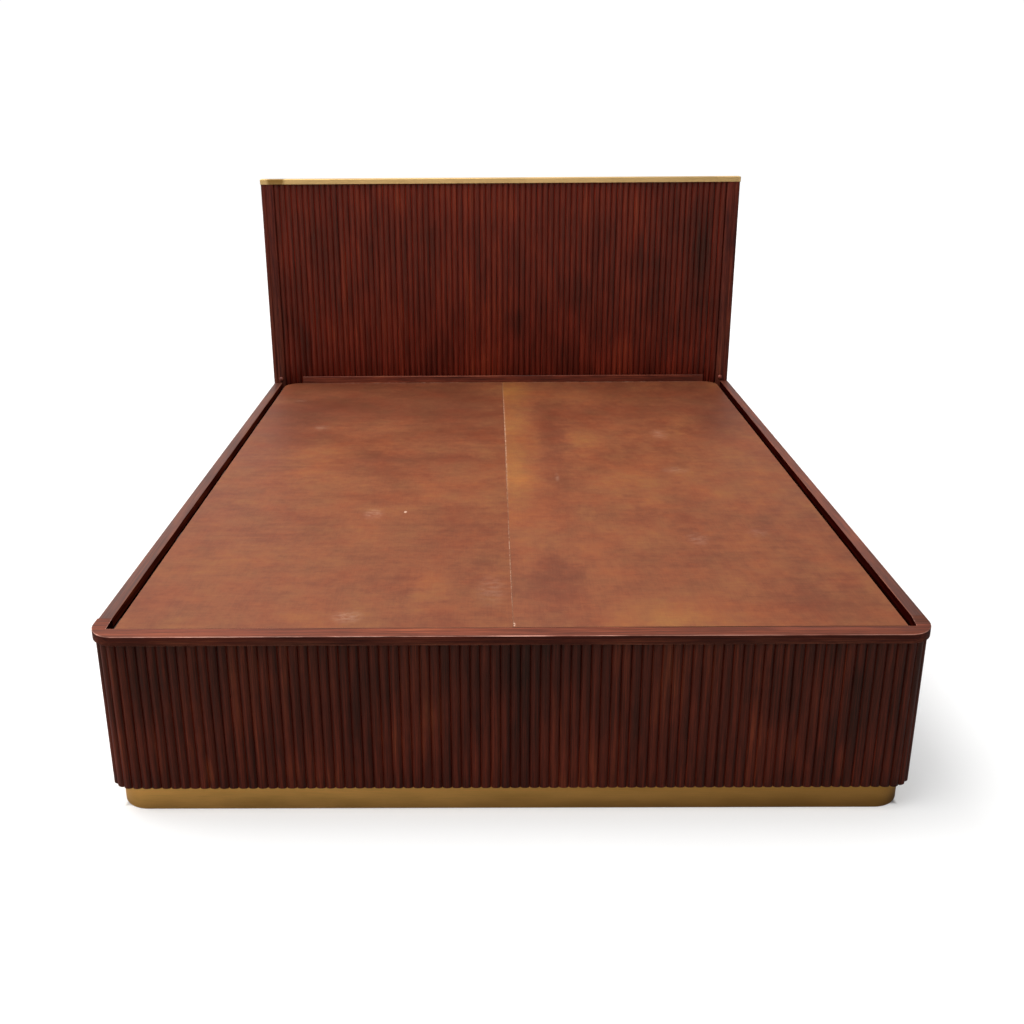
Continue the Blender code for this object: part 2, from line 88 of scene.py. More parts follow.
camera_data = bpy.data.cameras.new("studio_camera")
camera_data.sensor_width = SENSOR_WIDTH
camera_data.lens = FOCAL_PIXELS / IMAGE_SIDE * SENSOR_WIDTH
camera_data.shift_x = 0.5 - LENS_MIDDLE[0] / IMAGE_SIDE
camera_data.shift_y = LENS_MIDDLE[1] / IMAGE_SIDE - 0.5
camera = bpy.data.objects.new("studio_camera", camera_data)
bpy.context.scene.collection.objects.link(camera)
bpy.context.scene.camera = camera

forward = Vector((math.sin(YAW) * math.cos(PITCH), math.cos(YAW) * math.cos(PITCH), -math.sin(PITCH)))
level_right = Vector((math.cos(YAW), -math.sin(YAW), 0.0))
level_up = level_right.cross(forward)
right = math.cos(ROLL) * level_right - math.sin(ROLL) * level_up
up = math.sin(ROLL) * level_right + math.cos(ROLL) * level_up
turn = Matrix((right, up, -forward)).transposed().to_4x4()
spot = Vector((CAMERA_X, cad_low.y - CAMERA_BEFORE_FOOT, CAMERA_HEIGHT))
camera.matrix_world = Matrix.Translation(spot) @ turn
print("lens", round(camera_data.lens, 2), "mm, camera at", [round(value, 3) for value in spot])

# %% [markdown]
# ## A short kit for finishes
#
# Every finish below is a tree of nodes, and writing each node out in full would bury the idea of the
# finish. A few short helpers keep the trees readable. One starts a finish, one adds a node with its sockets
# set or linked, and others do sums, turn a value into colours or lay one colour over another. The one for
# marks measures how far a point lies from each of them, because wood that was stained by hand has marks in
# chosen places.

# %% Start a finish and add nodes to it
def new_finish(name):
    """An empty finish: the material, its node tree, its shader and the place of a point on the piece."""
    material = bpy.data.materials.new(name)
    material.use_nodes = True
    tree = material.node_tree
    place = add_node(tree, "ShaderNodeTexCoord", {}).outputs["Object"]
    return material, tree, tree.nodes["Principled BSDF"], place


def add_node(tree, kind, inputs, **settings):
    """A node with its settings. An input that is a socket is linked, any other is set as a constant."""
    node = tree.nodes.new(kind)
    for name, value in settings.items():
        setattr(node, name, value)
    for name, value in inputs.items():
        if isinstance(value, bpy.types.NodeSocket):
            tree.links.new(value, node.inputs[name])
        else:
            node.inputs[name].default_value = value
    return node


def noise(tree, vector, scale, detail=4.0, roughness=0.55, stretch=(1.0, 1.0, 1.0)):
    """A cloudy value between 0 and 1, drawn out where a stretch is below 1."""
    mapped = add_node(tree, "ShaderNodeMapping", {"Vector": vector, "Scale": stretch})
    sockets = {"Vector": mapped.outputs[0], "Scale": scale, "Detail": detail, "Roughness": roughness}
    return add_node(tree, "ShaderNodeTexNoise", sockets).outputs[0]


def ramp(tree, value, *stops):
    """Colours along a value: each stop is a place and its red, green and blue."""
    node = add_node(tree, "ShaderNodeValToRGB", {"Fac": value})
    while len(node.color_ramp.elements) < len(stops):
        node.color_ramp.elements.new(1.0)
    for element, (place, colour) in zip(node.color_ramp.elements, stops):
        element.position = place
        element.color = (*colour, 1.0)
    return node.outputs[0]


def reach(tree, value, start, end, low=0.0, high=1.0):
    """The value spread from one range to another, and held at its ends."""
    sockets = {"Value": value, "From Min": start, "From Max": end, "To Min": low, "To Max": high}
    return add_node(tree, "ShaderNodeMapRange", sockets, interpolation_type="SMOOTHSTEP").outputs[0]


print("helpers for finishes, nodes, noise and ramps ready")

# %% Do sums on values and places
def stored(tree, name):
    """A value that the mesh itself carries."""
    return add_node(tree, "ShaderNodeAttribute", {}, attribute_name=name).outputs["Fac"]


def along_axis(tree, place, axis):
    """How far a place lies along x, y or z."""
    return add_node(tree, "ShaderNodeSeparateXYZ", {0: place}).outputs[axis]


def sums(tree, operation, first, second):
    """One sum on two values."""
    return add_node(tree, "ShaderNodeMath", {0: first, 1: second}, operation=operation).outputs[0]


def plus(tree, first, second):
    return sums(tree, "ADD", first, second)


def minus(tree, first, second):
    return sums(tree, "SUBTRACT", first, second)


def times(tree, first, second):
    return sums(tree, "MULTIPLY", first, second)


def fold(tree, operation, values):
    """One sum carried through a list of values."""
    total = values[0]
    for value in values[1:]:
        total = sums(tree, operation, total, value)
    return total


def blend(tree, *parts):
    """Values added up, each by its own share."""
    return fold(tree, "ADD", [times(tree, value, share) for value, share in parts])


def vectors(tree, operation, first, second):
    """One sum on two places or directions."""
    return add_node(tree, "ShaderNodeVectorMath", {0: first, 1: second}, operation=operation).outputs[0]


def pushed(tree, place, push, amount):
    """A place moved along a direction by an amount."""
    move = add_node(tree, "ShaderNodeVectorMath", {0: push, "Scale": amount}, operation="SCALE").outputs[0]
    return vectors(tree, "ADD", place, move)


def drawn_out(along, share):
    """A stretch for noise that runs in long streaks along one axis."""
    stretch = [1.0, 1.0, 1.0]
    stretch[along] = share
    return stretch


def bump_of(tree, height, strength, distance):
    """A surface made rough by a height."""
    sockets = {"Strength": strength, "Distance": distance, "Height": height}
    return add_node(tree, "ShaderNodeBump", sockets).outputs[0]


print("helpers for sums ready")

# %% Lay colours and place marks
def tinted(colour, tint):
    """A constant colour times a tint."""
    return tuple(part * share for part, share in zip(colour, tint))


def lay(tree, amount, under, over, blend_type="MIX"):
    """One colour laid over another by an amount."""
    node = tree.nodes.new("ShaderNodeMix")
    node.data_type = "RGBA"
    node.blend_type = blend_type
    for index, value in ((0, amount), (6, under), (7, over)):
        if isinstance(value, bpy.types.NodeSocket):
            tree.links.new(value, node.inputs[index])
        else:
            node.inputs[index].default_value = value if index == 0 else (*value, 1.0)
    return node.outputs[2]


def shaded(tree, colour, value):
    """A colour made darker or lighter by a value."""
    shade = add_node(tree, "ShaderNodeCombineColor", {0: value, 1: value, 2: value}).outputs[0]
    return lay(tree, 1.0, colour, shade, "MULTIPLY")


def marks(tree, place, axes, rows, soft=0.3):
    """Soft round marks added up. A row holds two places, two half sizes and a strength.

    A mark has its full strength near its middle and nothing past its half sizes along two axes.
    """
    single = []
    for a, b, half_a, half_b, strength in rows:
        shift = [0.0, 0.0, 0.0]
        squeeze = [0.0, 0.0, 0.0]
        for axis, spot, half in zip(axes, (a, b), (half_a, half_b)):
            shift[axis] = -spot
            squeeze[axis] = 1.0 / half
        scaled = vectors(tree, "MULTIPLY", vectors(tree, "ADD", place, shift), squeeze)
        distance = add_node(tree, "ShaderNodeVectorMath", {0: scaled}, operation="LENGTH").outputs["Value"]
        single.append(reach(tree, distance, soft, 1.0, strength, 0.0))
    return fold(tree, "ADD", single)


def join_shader(tree, shader, **sockets):
    """Link sockets to the shader by name, with spaces written as underscores."""
    for name, socket in sockets.items():
        tree.links.new(socket, shader.inputs[name.replace("_", " ")])


def set_shader(shader, **constants):
    """Set the shader's own constants by name, with spaces written as underscores."""
    for name, value in constants.items():
        shader.inputs[name.replace("_", " ")].default_value = value


print("helpers for colours and marks ready")

# %% [markdown]
# ## The floor and the backdrop
#
# The picture has a floor and a backdrop of plain white. A white floor of that kind would throw so much
# light back at the foot of the bed that its dark stain would look washed out. Photographers meet the same
# trouble and keep the floor near the object grey for the light. Here that is two sheets: a pale one that
# only the camera sees, and a grey one under it that only the light sees. The pale one glows a little, like
# a sheet on a light table, so that the real shadows on it stay as thin as in the picture. It is dark inside
# the plinth, or its glow would show through the slots. Far in front of the bed the grey sheet turns pale,
# because that part gleams in the crests of the headboard's flutes. The backdrop is a wide dome that only
# the camera sees.

# %% Lay the floor
STAGE_RADIUS = 14.0
PALE_FLOOR = 0.46
PALE_GLOW = 0.395
GREY_FLOOR = 0.20
GREY_FLOOR_DROP = 0.001
FRONT_FLOOR = 0.85
FRONT_STARTS = -3.0
FRONT_FULL = -3.8


def stage_object(name, bm, material):
    """A stage piece that isn't part of the bed."""
    mesh = bpy.data.meshes.new(name)
    bm.to_mesh(mesh)
    bm.free()
    mesh.materials.append(material)
    piece = bpy.data.objects.new(name, mesh)
    bpy.context.scene.collection.objects.link(piece)
    return piece


UNDER_LOW = (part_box("left_plinth_board")[1].x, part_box("foot_plinth_board")[1].y)
UNDER_HIGH = (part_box("right_plinth_board")[0].x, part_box("headboard_panel")[0].y)
UNDER_EDGE = 0.01


def outside_plinth(tree, place):
    """1 on the open floor and 0 inside the plinth, where no light comes."""
    within = []
    for axis, low, high in zip("XY", UNDER_LOW, UNDER_HIGH):
        for edge, inwards in ((low, UNDER_EDGE), (high, -UNDER_EDGE)):
            within.append(reach(tree, along_axis(tree, place, axis), edge - inwards, edge))
    return minus(tree, 1.0, fold(tree, "MINIMUM", within))


def floor_disc(name, height, shade, table_glow, front_shade=0.0):
    """A round sheet of floor in one shade, with a trace of paper mottle, or another shade far in front."""
    material, tree, shader, place = new_finish(name)
    mottle = noise(tree, place, 3.0)
    paper = ramp(tree, mottle, (0.3, (shade * 0.99,) * 3), (0.7, (shade * 1.01,) * 3))
    if front_shade:
        in_front = reach(tree, along_axis(tree, place, "Y"), FRONT_STARTS, FRONT_FULL)
        paper = lay(tree, in_front, paper, (front_shade,) * 3)
    join_shader(tree, shader, Base_Color=paper)
    set_shader(shader, Roughness=0.9, Specular_IOR_Level=0.1)
    set_shader(shader, Emission_Color=(1.0, 1.0, 1.0, 1.0), Emission_Strength=0.0)
    if table_glow:
        open_glow = times(tree, outside_plinth(tree, place), table_glow)
        join_shader(tree, shader, Emission_Strength=open_glow)
    bm = bmesh.new()
    bmesh.ops.create_circle(bm, cap_ends=True, segments=96, radius=STAGE_RADIUS)
    bmesh.ops.translate(bm, vec=(0.0, 0.0, height), verts=bm.verts)
    return stage_object(name, bm, material)


def camera_only(piece):
    """Hide a stage piece from every ray but the camera's."""
    for ray in ("diffuse", "glossy", "transmission", "volume_scatter", "shadow"):
        setattr(piece, f"visible_{ray}", False)


pale_floor = floor_disc("pale_floor", 0.0, PALE_FLOOR, PALE_GLOW)
camera_only(pale_floor)
grey_floor = floor_disc("grey_floor", -GREY_FLOOR_DROP, GREY_FLOOR, 0.0, FRONT_FLOOR)
grey_floor.visible_camera = False
print("floor", 2 * STAGE_RADIUS, "m across")

# %% Hang the backdrop
BACKDROP_GLOW = 1.02

backdrop_white = bpy.data.materials.new("backdrop_white")
backdrop_white.use_nodes = True
backdrop_tree = backdrop_white.node_tree
backdrop_tree.nodes.clear()
glow_sockets = {"Color": (1.0, 1.0, 1.0, 1.0), "Strength": BACKDROP_GLOW}
glow = add_node(backdrop_tree, "ShaderNodeEmission", glow_sockets)
add_node(backdrop_tree, "ShaderNodeOutputMaterial", {"Surface": glow.outputs[0]})
dome = bmesh.new()
bmesh.ops.create_uvsphere(dome, u_segments=64, v_segments=32, radius=STAGE_RADIUS)
backdrop = stage_object("white_backdrop", dome, backdrop_white)
camera_only(backdrop)
print("backdrop", round(STAGE_RADIUS, 1), "m high")

# %% [markdown]
# ## The light
#
# On the bed, the tops are about six times as bright as the fronts, and the shadow falls softly to the
# right. So the main light is a wide soft one overhead, from the left. A sun lamp with a wide angle does that
# evenly over the whole floor. A second softbox hangs above the middle of the deck: it reaches the headboard
# but not the foot, which is why the headboard looks redder and lighter. The headboard's flute stain is also
# painted lighter and redder than the foot's, as painted light for the red light that the deck throws back.
# The sky round them stands for the studio: a white wall behind the bed, which shines in the side rails, and
# a dimmer room in front.

# %% Hang the overhead light
OVERHEAD_STRENGTH = 3.35
OVERHEAD_ANGLE = math.radians(56)
OVERHEAD_FROM = Vector((-0.51, 0.02, 0.86))
DECK_LIGHT_WATTS = 42.0
DECK_LIGHT_SIDE = 1.6
DECK_LIGHT_PLACE = (-0.5, -0.2, 3.0)

overhead_data = bpy.data.lights.new("overhead_softbox", "SUN")
overhead_data.energy = OVERHEAD_STRENGTH
overhead_data.angle = OVERHEAD_ANGLE
overhead_data.color = (1.0, 0.985, 0.965)
overhead = bpy.data.objects.new("overhead_softbox", overhead_data)
overhead.rotation_euler = OVERHEAD_FROM.to_track_quat("Z", "Y").to_euler()
bpy.context.scene.collection.objects.link(overhead)
deck_light_data = bpy.data.lights.new("deck_softbox", "AREA")
deck_light_data.energy = DECK_LIGHT_WATTS
deck_light_data.size = DECK_LIGHT_SIDE
deck_light = bpy.data.objects.new("deck_softbox", deck_light_data)
deck_light.location = DECK_LIGHT_PLACE
deck_light.visible_camera = False
bpy.context.scene.collection.objects.link(deck_light)
bpy.context.scene.view_settings.view_transform = "Standard"
print("overhead light from", [round(value, 2) for value in OVERHEAD_FROM.normalized()])

# %% Light the studio round the bed
WALL_BEHIND = 0.62
ROOM_IN_FRONT = 0.36
CEILING = 1.1
LEFT_LEAN = 0.55

studio = bpy.data.worlds.new("soft_studio")
bpy.context.scene.world = studio
studio.use_nodes = True
sky = studio.node_tree
looking = add_node(sky, "ShaderNodeTexCoord", {}).outputs["Generated"]
towards_wall = reach(sky, along_axis(sky, looking, "Y"), -0.25, 0.6, ROOM_IN_FRONT, WALL_BEHIND)
overhead_share = reach(sky, along_axis(sky, looking, "Z"), 0.35, 0.9)
level_part = times(sky, towards_wall, minus(sky, 1.0, overhead_share))
dome_light = plus(sky, level_part, times(sky, overhead_share, CEILING))
from_left = reach(sky, along_axis(sky, looking, "X"), -1.0, 1.0, 1.0 + LEFT_LEAN, 1.0 - LEFT_LEAN)
sky.nodes["Background"].inputs["Color"].default_value = (1.0, 1.0, 1.0, 1.0)
sky.links.new(times(sky, dome_light, from_left), sky.nodes["Background"].inputs["Strength"])
print("studio light from", ROOM_IN_FRONT, "in front to", WALL_BEHIND, "behind")

# %% [markdown]
# ## How a piece joins the bed
#
# Each new piece stands for one or more of the imported solids. It rides the body that they belong to, so it
# moves with the bed. One helper does all of that, and smooths the piece while it keeps real corners sharp.

# %% A helper that adds a piece
SHARP_CORNER = math.radians(42)


def add_piece(name, mesh, finishes, nodes, body="frame"):
    """Put a mesh on the bed in place of some of its solids."""
    for finish in finishes:
        mesh.materials.append(finish)
    bm = bmesh.new()
    bm.from_mesh(mesh)
    bmesh.ops.recalc_face_normals(bm, faces=bm.faces)
    bm.to_mesh(mesh)
    bm.free()
    mesh.shade_smooth()
    mesh.set_sharp_from_angle(angle=SHARP_CORNER)
    piece = bpy.data.objects.new(name, mesh)
    bpy.context.scene.collection.objects.link(piece)
    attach(piece, body)
    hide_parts(*nodes)
    return piece


# %% [markdown]
# ## The dark stain
#
# All the show wood is a solid hardwood under a dark red-brown stain, wiped on by hand. It took unevenly:
# near-black clouds a hand wide, red-brown where it was wiped thin, and orange-brown streaks along the
# grain. Four noises carry that: broad clouds, grain, fine streaks and pores. The same stain serves every
# rail and upright, a little lighter or darker as in the picture. The flutes also have two values stored in
# their mesh, a tone for each flute and how far a point stands out. The tone is there because each flute is
# its own strip of wood. How far a point stands out places painted light and shade: a paler groove, painted
# light against the deep shade between the flutes, and darker shoulders beside a slightly paler crest,
# painted shade and a painted highlight. A wall is also painted lighter low down, on the foot where the floor
# throws light back and on the headboard where the deck does, and the foot is painted darker under its rail.

# %% Mix the dark stain
STAIN_STEPS = (
    (0.28, (0.034, 0.0085, 0.0052)),
    (0.40, (0.068, 0.0128, 0.0068)),
    (0.54, (0.112, 0.0205, 0.0095)),
    (0.66, (0.165, 0.0380, 0.0140)),
    (0.80, (0.250, 0.0800, 0.0260)),
)
RUBBED = (0.30, 0.105, 0.055)
CLOUDS_PER_METRE = 6.5
GRAIN_PER_METRE = 110.0
STREAKS_PER_METRE = 300.0
PORES_PER_METRE = 900.0
GRAIN_DRAW = 0.045


def stain_finish(
    name, along, light=1.0, gloss=0.5, shine=0.15, orange=1.0, even=0.0, fade=0.0, edge_rub_and_highlight=RUBBED,
    foot_shade=1.0, dark_end=None
):
    """Dark red-brown stain with its grain along one axis: 0 for x, 1 for y, 2 for z.

    shine is the strength of its gleam and orange adds green and blue. even takes out some of the clouds.
    fade is how much darker the stain gets from left to right, and it also thins the pale edge towards the
    right.
    edge_rub_and_highlight is the colour of the eased edges: worn finish, and on the foot rail a pale pink
    that is also a painted highlight along its front edge. foot_shade is the shade of the half metre next to
    the foot, and dark_end is a mark in x and y and its colour.
    """
    material, tree, shader, place = new_finish(name)
    stain = stain_parts(tree, place, place, along, even)
    depth = stain["depth"]
    # The pale edge colour is worn finish, and on the foot rail also a painted highlight along the front
    # edge.
    worn_and_highlit_edge = times(tree, stored(tree, "edge_wear_and_highlight"), reach(tree, stain["grain"], 0.40, 0.62, 0.1, 0.75))
    if fade:
        across = along_axis(tree, place, "X")
        depth = minus(tree, depth, reach(tree, across, -0.5, 0.6, 0.0, fade))
        worn_and_highlit_edge = times(tree, worn_and_highlit_edge, reach(tree, across, -0.3, 0.6, 1.0, 0.35))
    colour = stain_colour(tree, depth, light, orange)
    if foot_shade < 1.0:
        behind_foot = along_axis(tree, place, "Y")
        colour = shaded(tree, colour, reach(tree, behind_foot, -1.05, -0.60, foot_shade, 1.0))
    if dark_end:
        row, dark = dark_end
        colour = lay(tree, marks(tree, place, (0, 1), [row], 0.7), colour, dark)
    colour = lay(tree, worn_and_highlit_edge, colour, edge_rub_and_highlight)
    finish_stain(tree, shader, stain, colour, gloss, shine)
    return material


def stain_parts(tree, place, grain_place, along, even):
    """The noises of the stain: broad clouds, grain, fine streaks and pores, and how deep it went in."""
    clouds = noise(tree, place, CLOUDS_PER_METRE, 5.0, 0.6, drawn_out(along, 0.5))
    grain = noise(tree, grain_place, GRAIN_PER_METRE, 6.0, 0.75, drawn_out(along, GRAIN_DRAW))
    streaks = noise(tree, grain_place, STREAKS_PER_METRE, 4.0, 0.6, drawn_out(along, GRAIN_DRAW * 0.4))
    pores = noise(tree, grain_place, PORES_PER_METRE, 3.0, 0.6, drawn_out(along, GRAIN_DRAW * 0.5))
    depth = reach(tree, blend(tree, (clouds, 0.44), (grain, 0.56)), 0.0, 1.0, even / 2, 1.0 - even / 2)
    streaked = reach(tree, streaks, 0.34, 0.66, 0.66, 1.32)
    fine = times(tree, reach(tree, pores, 0.36, 0.46, 0.75, 1.0), streaked)
    return {"grain": grain, "fine": fine, "depth": depth}


def stain_colour(tree, depth, light, orange):
    """The stain's colour by its depth, from near-black to orange-brown."""
    tint = (light, light * orange, light * orange)
    return ramp(tree, depth, *[(spot, tinted(shade, tint)) for spot, shade in STAIN_STEPS])


def finish_stain(tree, shader, stain, colour, gloss, shine, gleam=(1.0, 1.0, 1.0)):
    """Fine streaks and pores, a satin gleam and the bump of the grain."""
    rough = reach(tree, stain["grain"], 0.3, 0.7, 0.62 - 0.4 * gloss, 0.78 - 0.4 * gloss)
    bump = bump_of(tree, blend(tree, (stain["grain"], 0.5), (stain["fine"], 0.5)), 0.35, 0.0006)
    colour = shaded(tree, colour, stain["fine"])
    join_shader(tree, shader, Base_Color=colour, Roughness=rough, Normal=bump)
    set_shader(shader, Specular_IOR_Level=shine, Specular_Tint=(*gleam, 1.0))


print("stain in", len(STAIN_STEPS), "steps from near-black to orange-brown")

# %% Stain the rails, stiles and batten
RIGHT_ARM_STAIN = ((0.957, -1.023, 0.06, 0.054, 1.0), (0.060, 0.0162, 0.0082))
# The foot rail's pale pink edge colour is a painted highlight along its eased front edge, as well as wear.
foot_rail_stain = stain_finish(
    "foot_rail_stain", 0, light=1.28, gloss=0.6, shine=0.12, orange=1.3, even=0.5, fade=0.068,
    edge_rub_and_highlight=(0.85, 0.48, 0.38), dark_end=RIGHT_ARM_STAIN
)
left_rail_stain = stain_finish(
    "left_rail_stain", 1, light=0.84, gloss=0.6, shine=0.37, orange=1.4, even=0.3, foot_shade=0.8
)
right_rail_stain = stain_finish(
    "right_rail_stain", 1, light=1.02, gloss=0.6, shine=0.36, orange=1.3, even=0.3, foot_shade=0.62
)
# A darker copy of the stain for the rails' outer faces: painted shade, as the light falls on the tops and
# not the faces.
rail_face_painted_shade = stain_finish(
    "rail_face_painted_shade", 0, light=0.50, gloss=0.35, shine=0.08, orange=0.85, even=0.3
)
# The faces inside the right finger slot get a near-black copy of the stain: painted shade for the dark of
# the slot.
slot_painted_shade = stain_finish(
    "slot_painted_shade", 1, light=0.16, gloss=0.1, shine=0.0, orange=0.3, edge_rub_and_highlight=(0.05, 0.008, 0.004)
)
# The left slot's faces get a lighter copy, also painted shade for the slot.
left_slot_painted_shade = stain_finish(
    "left_slot_painted_shade", 1, light=0.95, gloss=0.1, shine=0.0, orange=0.75, edge_rub_and_highlight=(0.05, 0.012, 0.006)
)
upright_stain = stain_finish("upright_stain", 2, light=0.70, gloss=0.45, orange=0.72)
batten_stain = stain_finish("batten_stain", 0, light=1.22, gloss=0.45, fade=0.06, edge_rub_and_highlight=(0.22, 0.066, 0.034))
# The buttons' paler stain is a painted highlight for their gleam, on top of their real gloss.
button_stain_and_highlight = stain_finish("button_stain_and_highlight", 2, light=1.6, gloss=0.7, shine=0.5)
print("stained wood in nine cuts")

# %% Stain the flutes
LACQUER_GLEAM = (1.0, 0.86, 0.68)
FLUTES_APART = (13.0, 7.0, 29.0)   # moves the grain, so that each flute has its own
FLUTE_TONES = 0.045
RAGGED_EDGE = (0.0, 0.0, 0.12)     # draws the edges of the clouds out along the flutes
# Each row is a mark on the wall: its x and z, its half sizes, and how much paler the stain is there. A
# few broad rows are painted light and shade instead, as noted at each.
FOOT_CLOUDS_AND_PAINTED_SHADE = (
    (-0.836, 0.400, 0.060, 0.240, -0.09),
    (-0.544, 0.490, 0.040, 0.090, -0.08),
    (-0.010, 0.470, 0.260, 0.130, -0.08),
    (0.028, 0.320, 0.055, 0.280, -0.07),
    (0.423, 0.417, 0.035, 0.130, -0.07),
    (0.609, 0.369, 0.050, 0.110, -0.08),
    (0.739, 0.235, 0.075, 0.120, -0.09),
    (0.804, 0.360, 0.045, 0.180, -0.08),
    # A broad darker mark over the right end: painted shade, away from the light on the left.
    (0.900, 0.260, 0.450, 0.700, -0.035),
    (-0.712, 0.175, 0.014, 0.060, 0.20),
    (0.777, 0.200, 0.014, 0.070, 0.20),
    (0.664, 0.238, 0.012, 0.060, 0.14),
)
HEAD_CLOUDS_AND_PAINTED_LIGHT = (
    (-0.640, 1.250, 0.060, 0.130, -0.06),
    (-0.257, 1.120, 0.050, 0.110, -0.05),
    (-0.836, 0.940, 0.060, 0.140, -0.06),
    (-0.225, 0.660, 0.100, 0.120, -0.06),
    (0.306, 0.920, 0.090, 0.100, -0.06),
    (0.060, 0.790, 0.045, 0.090, -0.06),
    (0.250, 0.630, 0.140, 0.120, -0.06),
    (0.567, 1.040, 0.045, 0.140, -0.06),
    (0.620, 1.080, 0.120, 0.160, -0.03),
    (0.820, 1.120, 0.080, 0.300, -0.06),
    # A broad darker mark over the right end: painted shade, away from the light on the left.
    (0.900, 0.900, 0.500, 0.700, -0.03),
    (-0.130, 0.860, 0.016, 0.280, 0.09),
    (-0.652, 0.920, 0.030, 0.090, 0.09),
    (0.060, 1.210, 0.080, 0.240, 0.05),
    (0.518, 0.650, 0.055, 0.130, 0.08),
    (0.130, 0.980, 0.035, 0.380, 0.07),
    (-0.640, 1.120, 0.018, 0.260, 0.08),
    (0.820, 0.720, 0.070, 0.160, 0.06),
    # A long paler band along the top: a painted reflection of the overhead light.
    (0.000, 1.300, 1.200, 0.120, 0.04),
)


def flute_finish(name, light, orange, even, groove, groove_painted_light, shoulder_painted_shade, gloss, shine, clouds, low, high):
    """The stain on a fluted wall: a tone for each flute, its grooves' own shade and clouds in their places.

    groove is how far up a flute groove_painted_light reaches: a paler groove, painted light against the deep
    shade between the flutes. shoulder_painted_shade darkens the shoulders beside the crest, as painted
    shade, and lifts the crest a little, as a painted highlight. low and high are a height and the shade
    there: painted light low down, where the floor throws light back on the foot and the deck on the
    headboard, and on the foot painted shade under the rail.
    """
    material, tree, shader, place = new_finish(name)
    tone = stored(tree, "flute_tone")
    own_grain = pushed(tree, place, FLUTES_APART, tone)
    stain = stain_parts(tree, place, own_grain, 2, even)
    depth = plus(tree, stain["depth"], reach(tree, tone, 0.0, 1.0, -FLUTE_TONES, FLUTE_TONES))
    spread = pushed(tree, place, RAGGED_EDGE, stain["grain"])
    depth = plus(tree, depth, marks(tree, spread, (0, 2), clouds))
    colour = stain_colour(tree, depth, light, orange)
    crest = stored(tree, "flute_crest")
    # The groove is painted paler, as painted light against the shade between the flutes, and the shoulders
    # darker, as painted shade.
    colour = shaded(tree, colour, reach(tree, crest, 0.0, groove, groove_painted_light, 1.0))
    colour = shaded(tree, colour, reach(tree, crest, 0.70, 0.98, shoulder_painted_shade, 1.06))
    # Painted light and shade by height: on the foot lighter near the floor and darker under the rail, on the
    # headboard lighter near the deck.
    level = along_axis(tree, place, "Z")
    colour = shaded(tree, colour, reach(tree, level, low[0], high[0], low[1], high[1]))
    finish_stain(tree, shader, stain, colour, gloss, shine, LACQUER_GLEAM)
    return material


# The foot is painted lighter near the floor and darker under the rail, as painted light and shade.
foot_flute_stain = flute_finish(
    "foot_flute_stain", light=0.69, orange=0.76, even=0.15, groove=0.75, groove_painted_light=3.0, shoulder_painted_shade=0.82,
    gloss=0.50, shine=0.22, clouds=FOOT_CLOUDS_AND_PAINTED_SHADE, low=(0.07, 1.18), high=(0.45, 0.78)
)
# The headboard's copy of the flute stain is lighter and redder than the foot's: painted light for the deck's
# red bounce.
head_flute_stain_with_painted_bounce = flute_finish(
    "head_flute_stain_with_painted_bounce", light=0.77, orange=0.58, even=0.35, groove=0.50, groove_painted_light=7.0, shoulder_painted_shade=0.90,
    gloss=0.80, shine=0.24, clouds=HEAD_CLOUDS_AND_PAINTED_LIGHT, low=(0.55, 1.22), high=(0.75, 1.07)
)
print(len(FOOT_CLOUDS_AND_PAINTED_SHADE), "marks on the foot and", len(HEAD_CLOUDS_AND_PAINTED_LIGHT), "on the headboard")

# %% [markdown]
# ## The fluted walls
#
# The base and the headboard are dressed with upright half rounds, side by side. On the real bed they are
# strips glued to a thin backing, so no two are quite the same. A wall could be one profile repeated by an
# array, but then every flute would be a twin. Instead the profile is walked along the wall flute by flute,
# with a small seeded difference in each one's width and depth, and the lower end is eased as by a rub of
# sandpaper. The same walk bends round the corners of the foot, because only the rule that turns a distance
# along the wall into a place differs.

# %% Build a wall of flutes
FLUTE_PITCH = 0.023
FLUTE_DEPTH = 0.008
FLUTE_BACKING = 0.003
FLUTE_FACETS = 14
FLUTE_LIFTS = 7                    # rows of points up a flute, so that it can bow a little
FLUTE_END_EASE = 0.0014
HAND_SLACK = 0.0004                # how far a groove strays from an even spacing
DEPTH_SLACK = 0.0005
GAP = 0.0003

hand = random.Random(11)


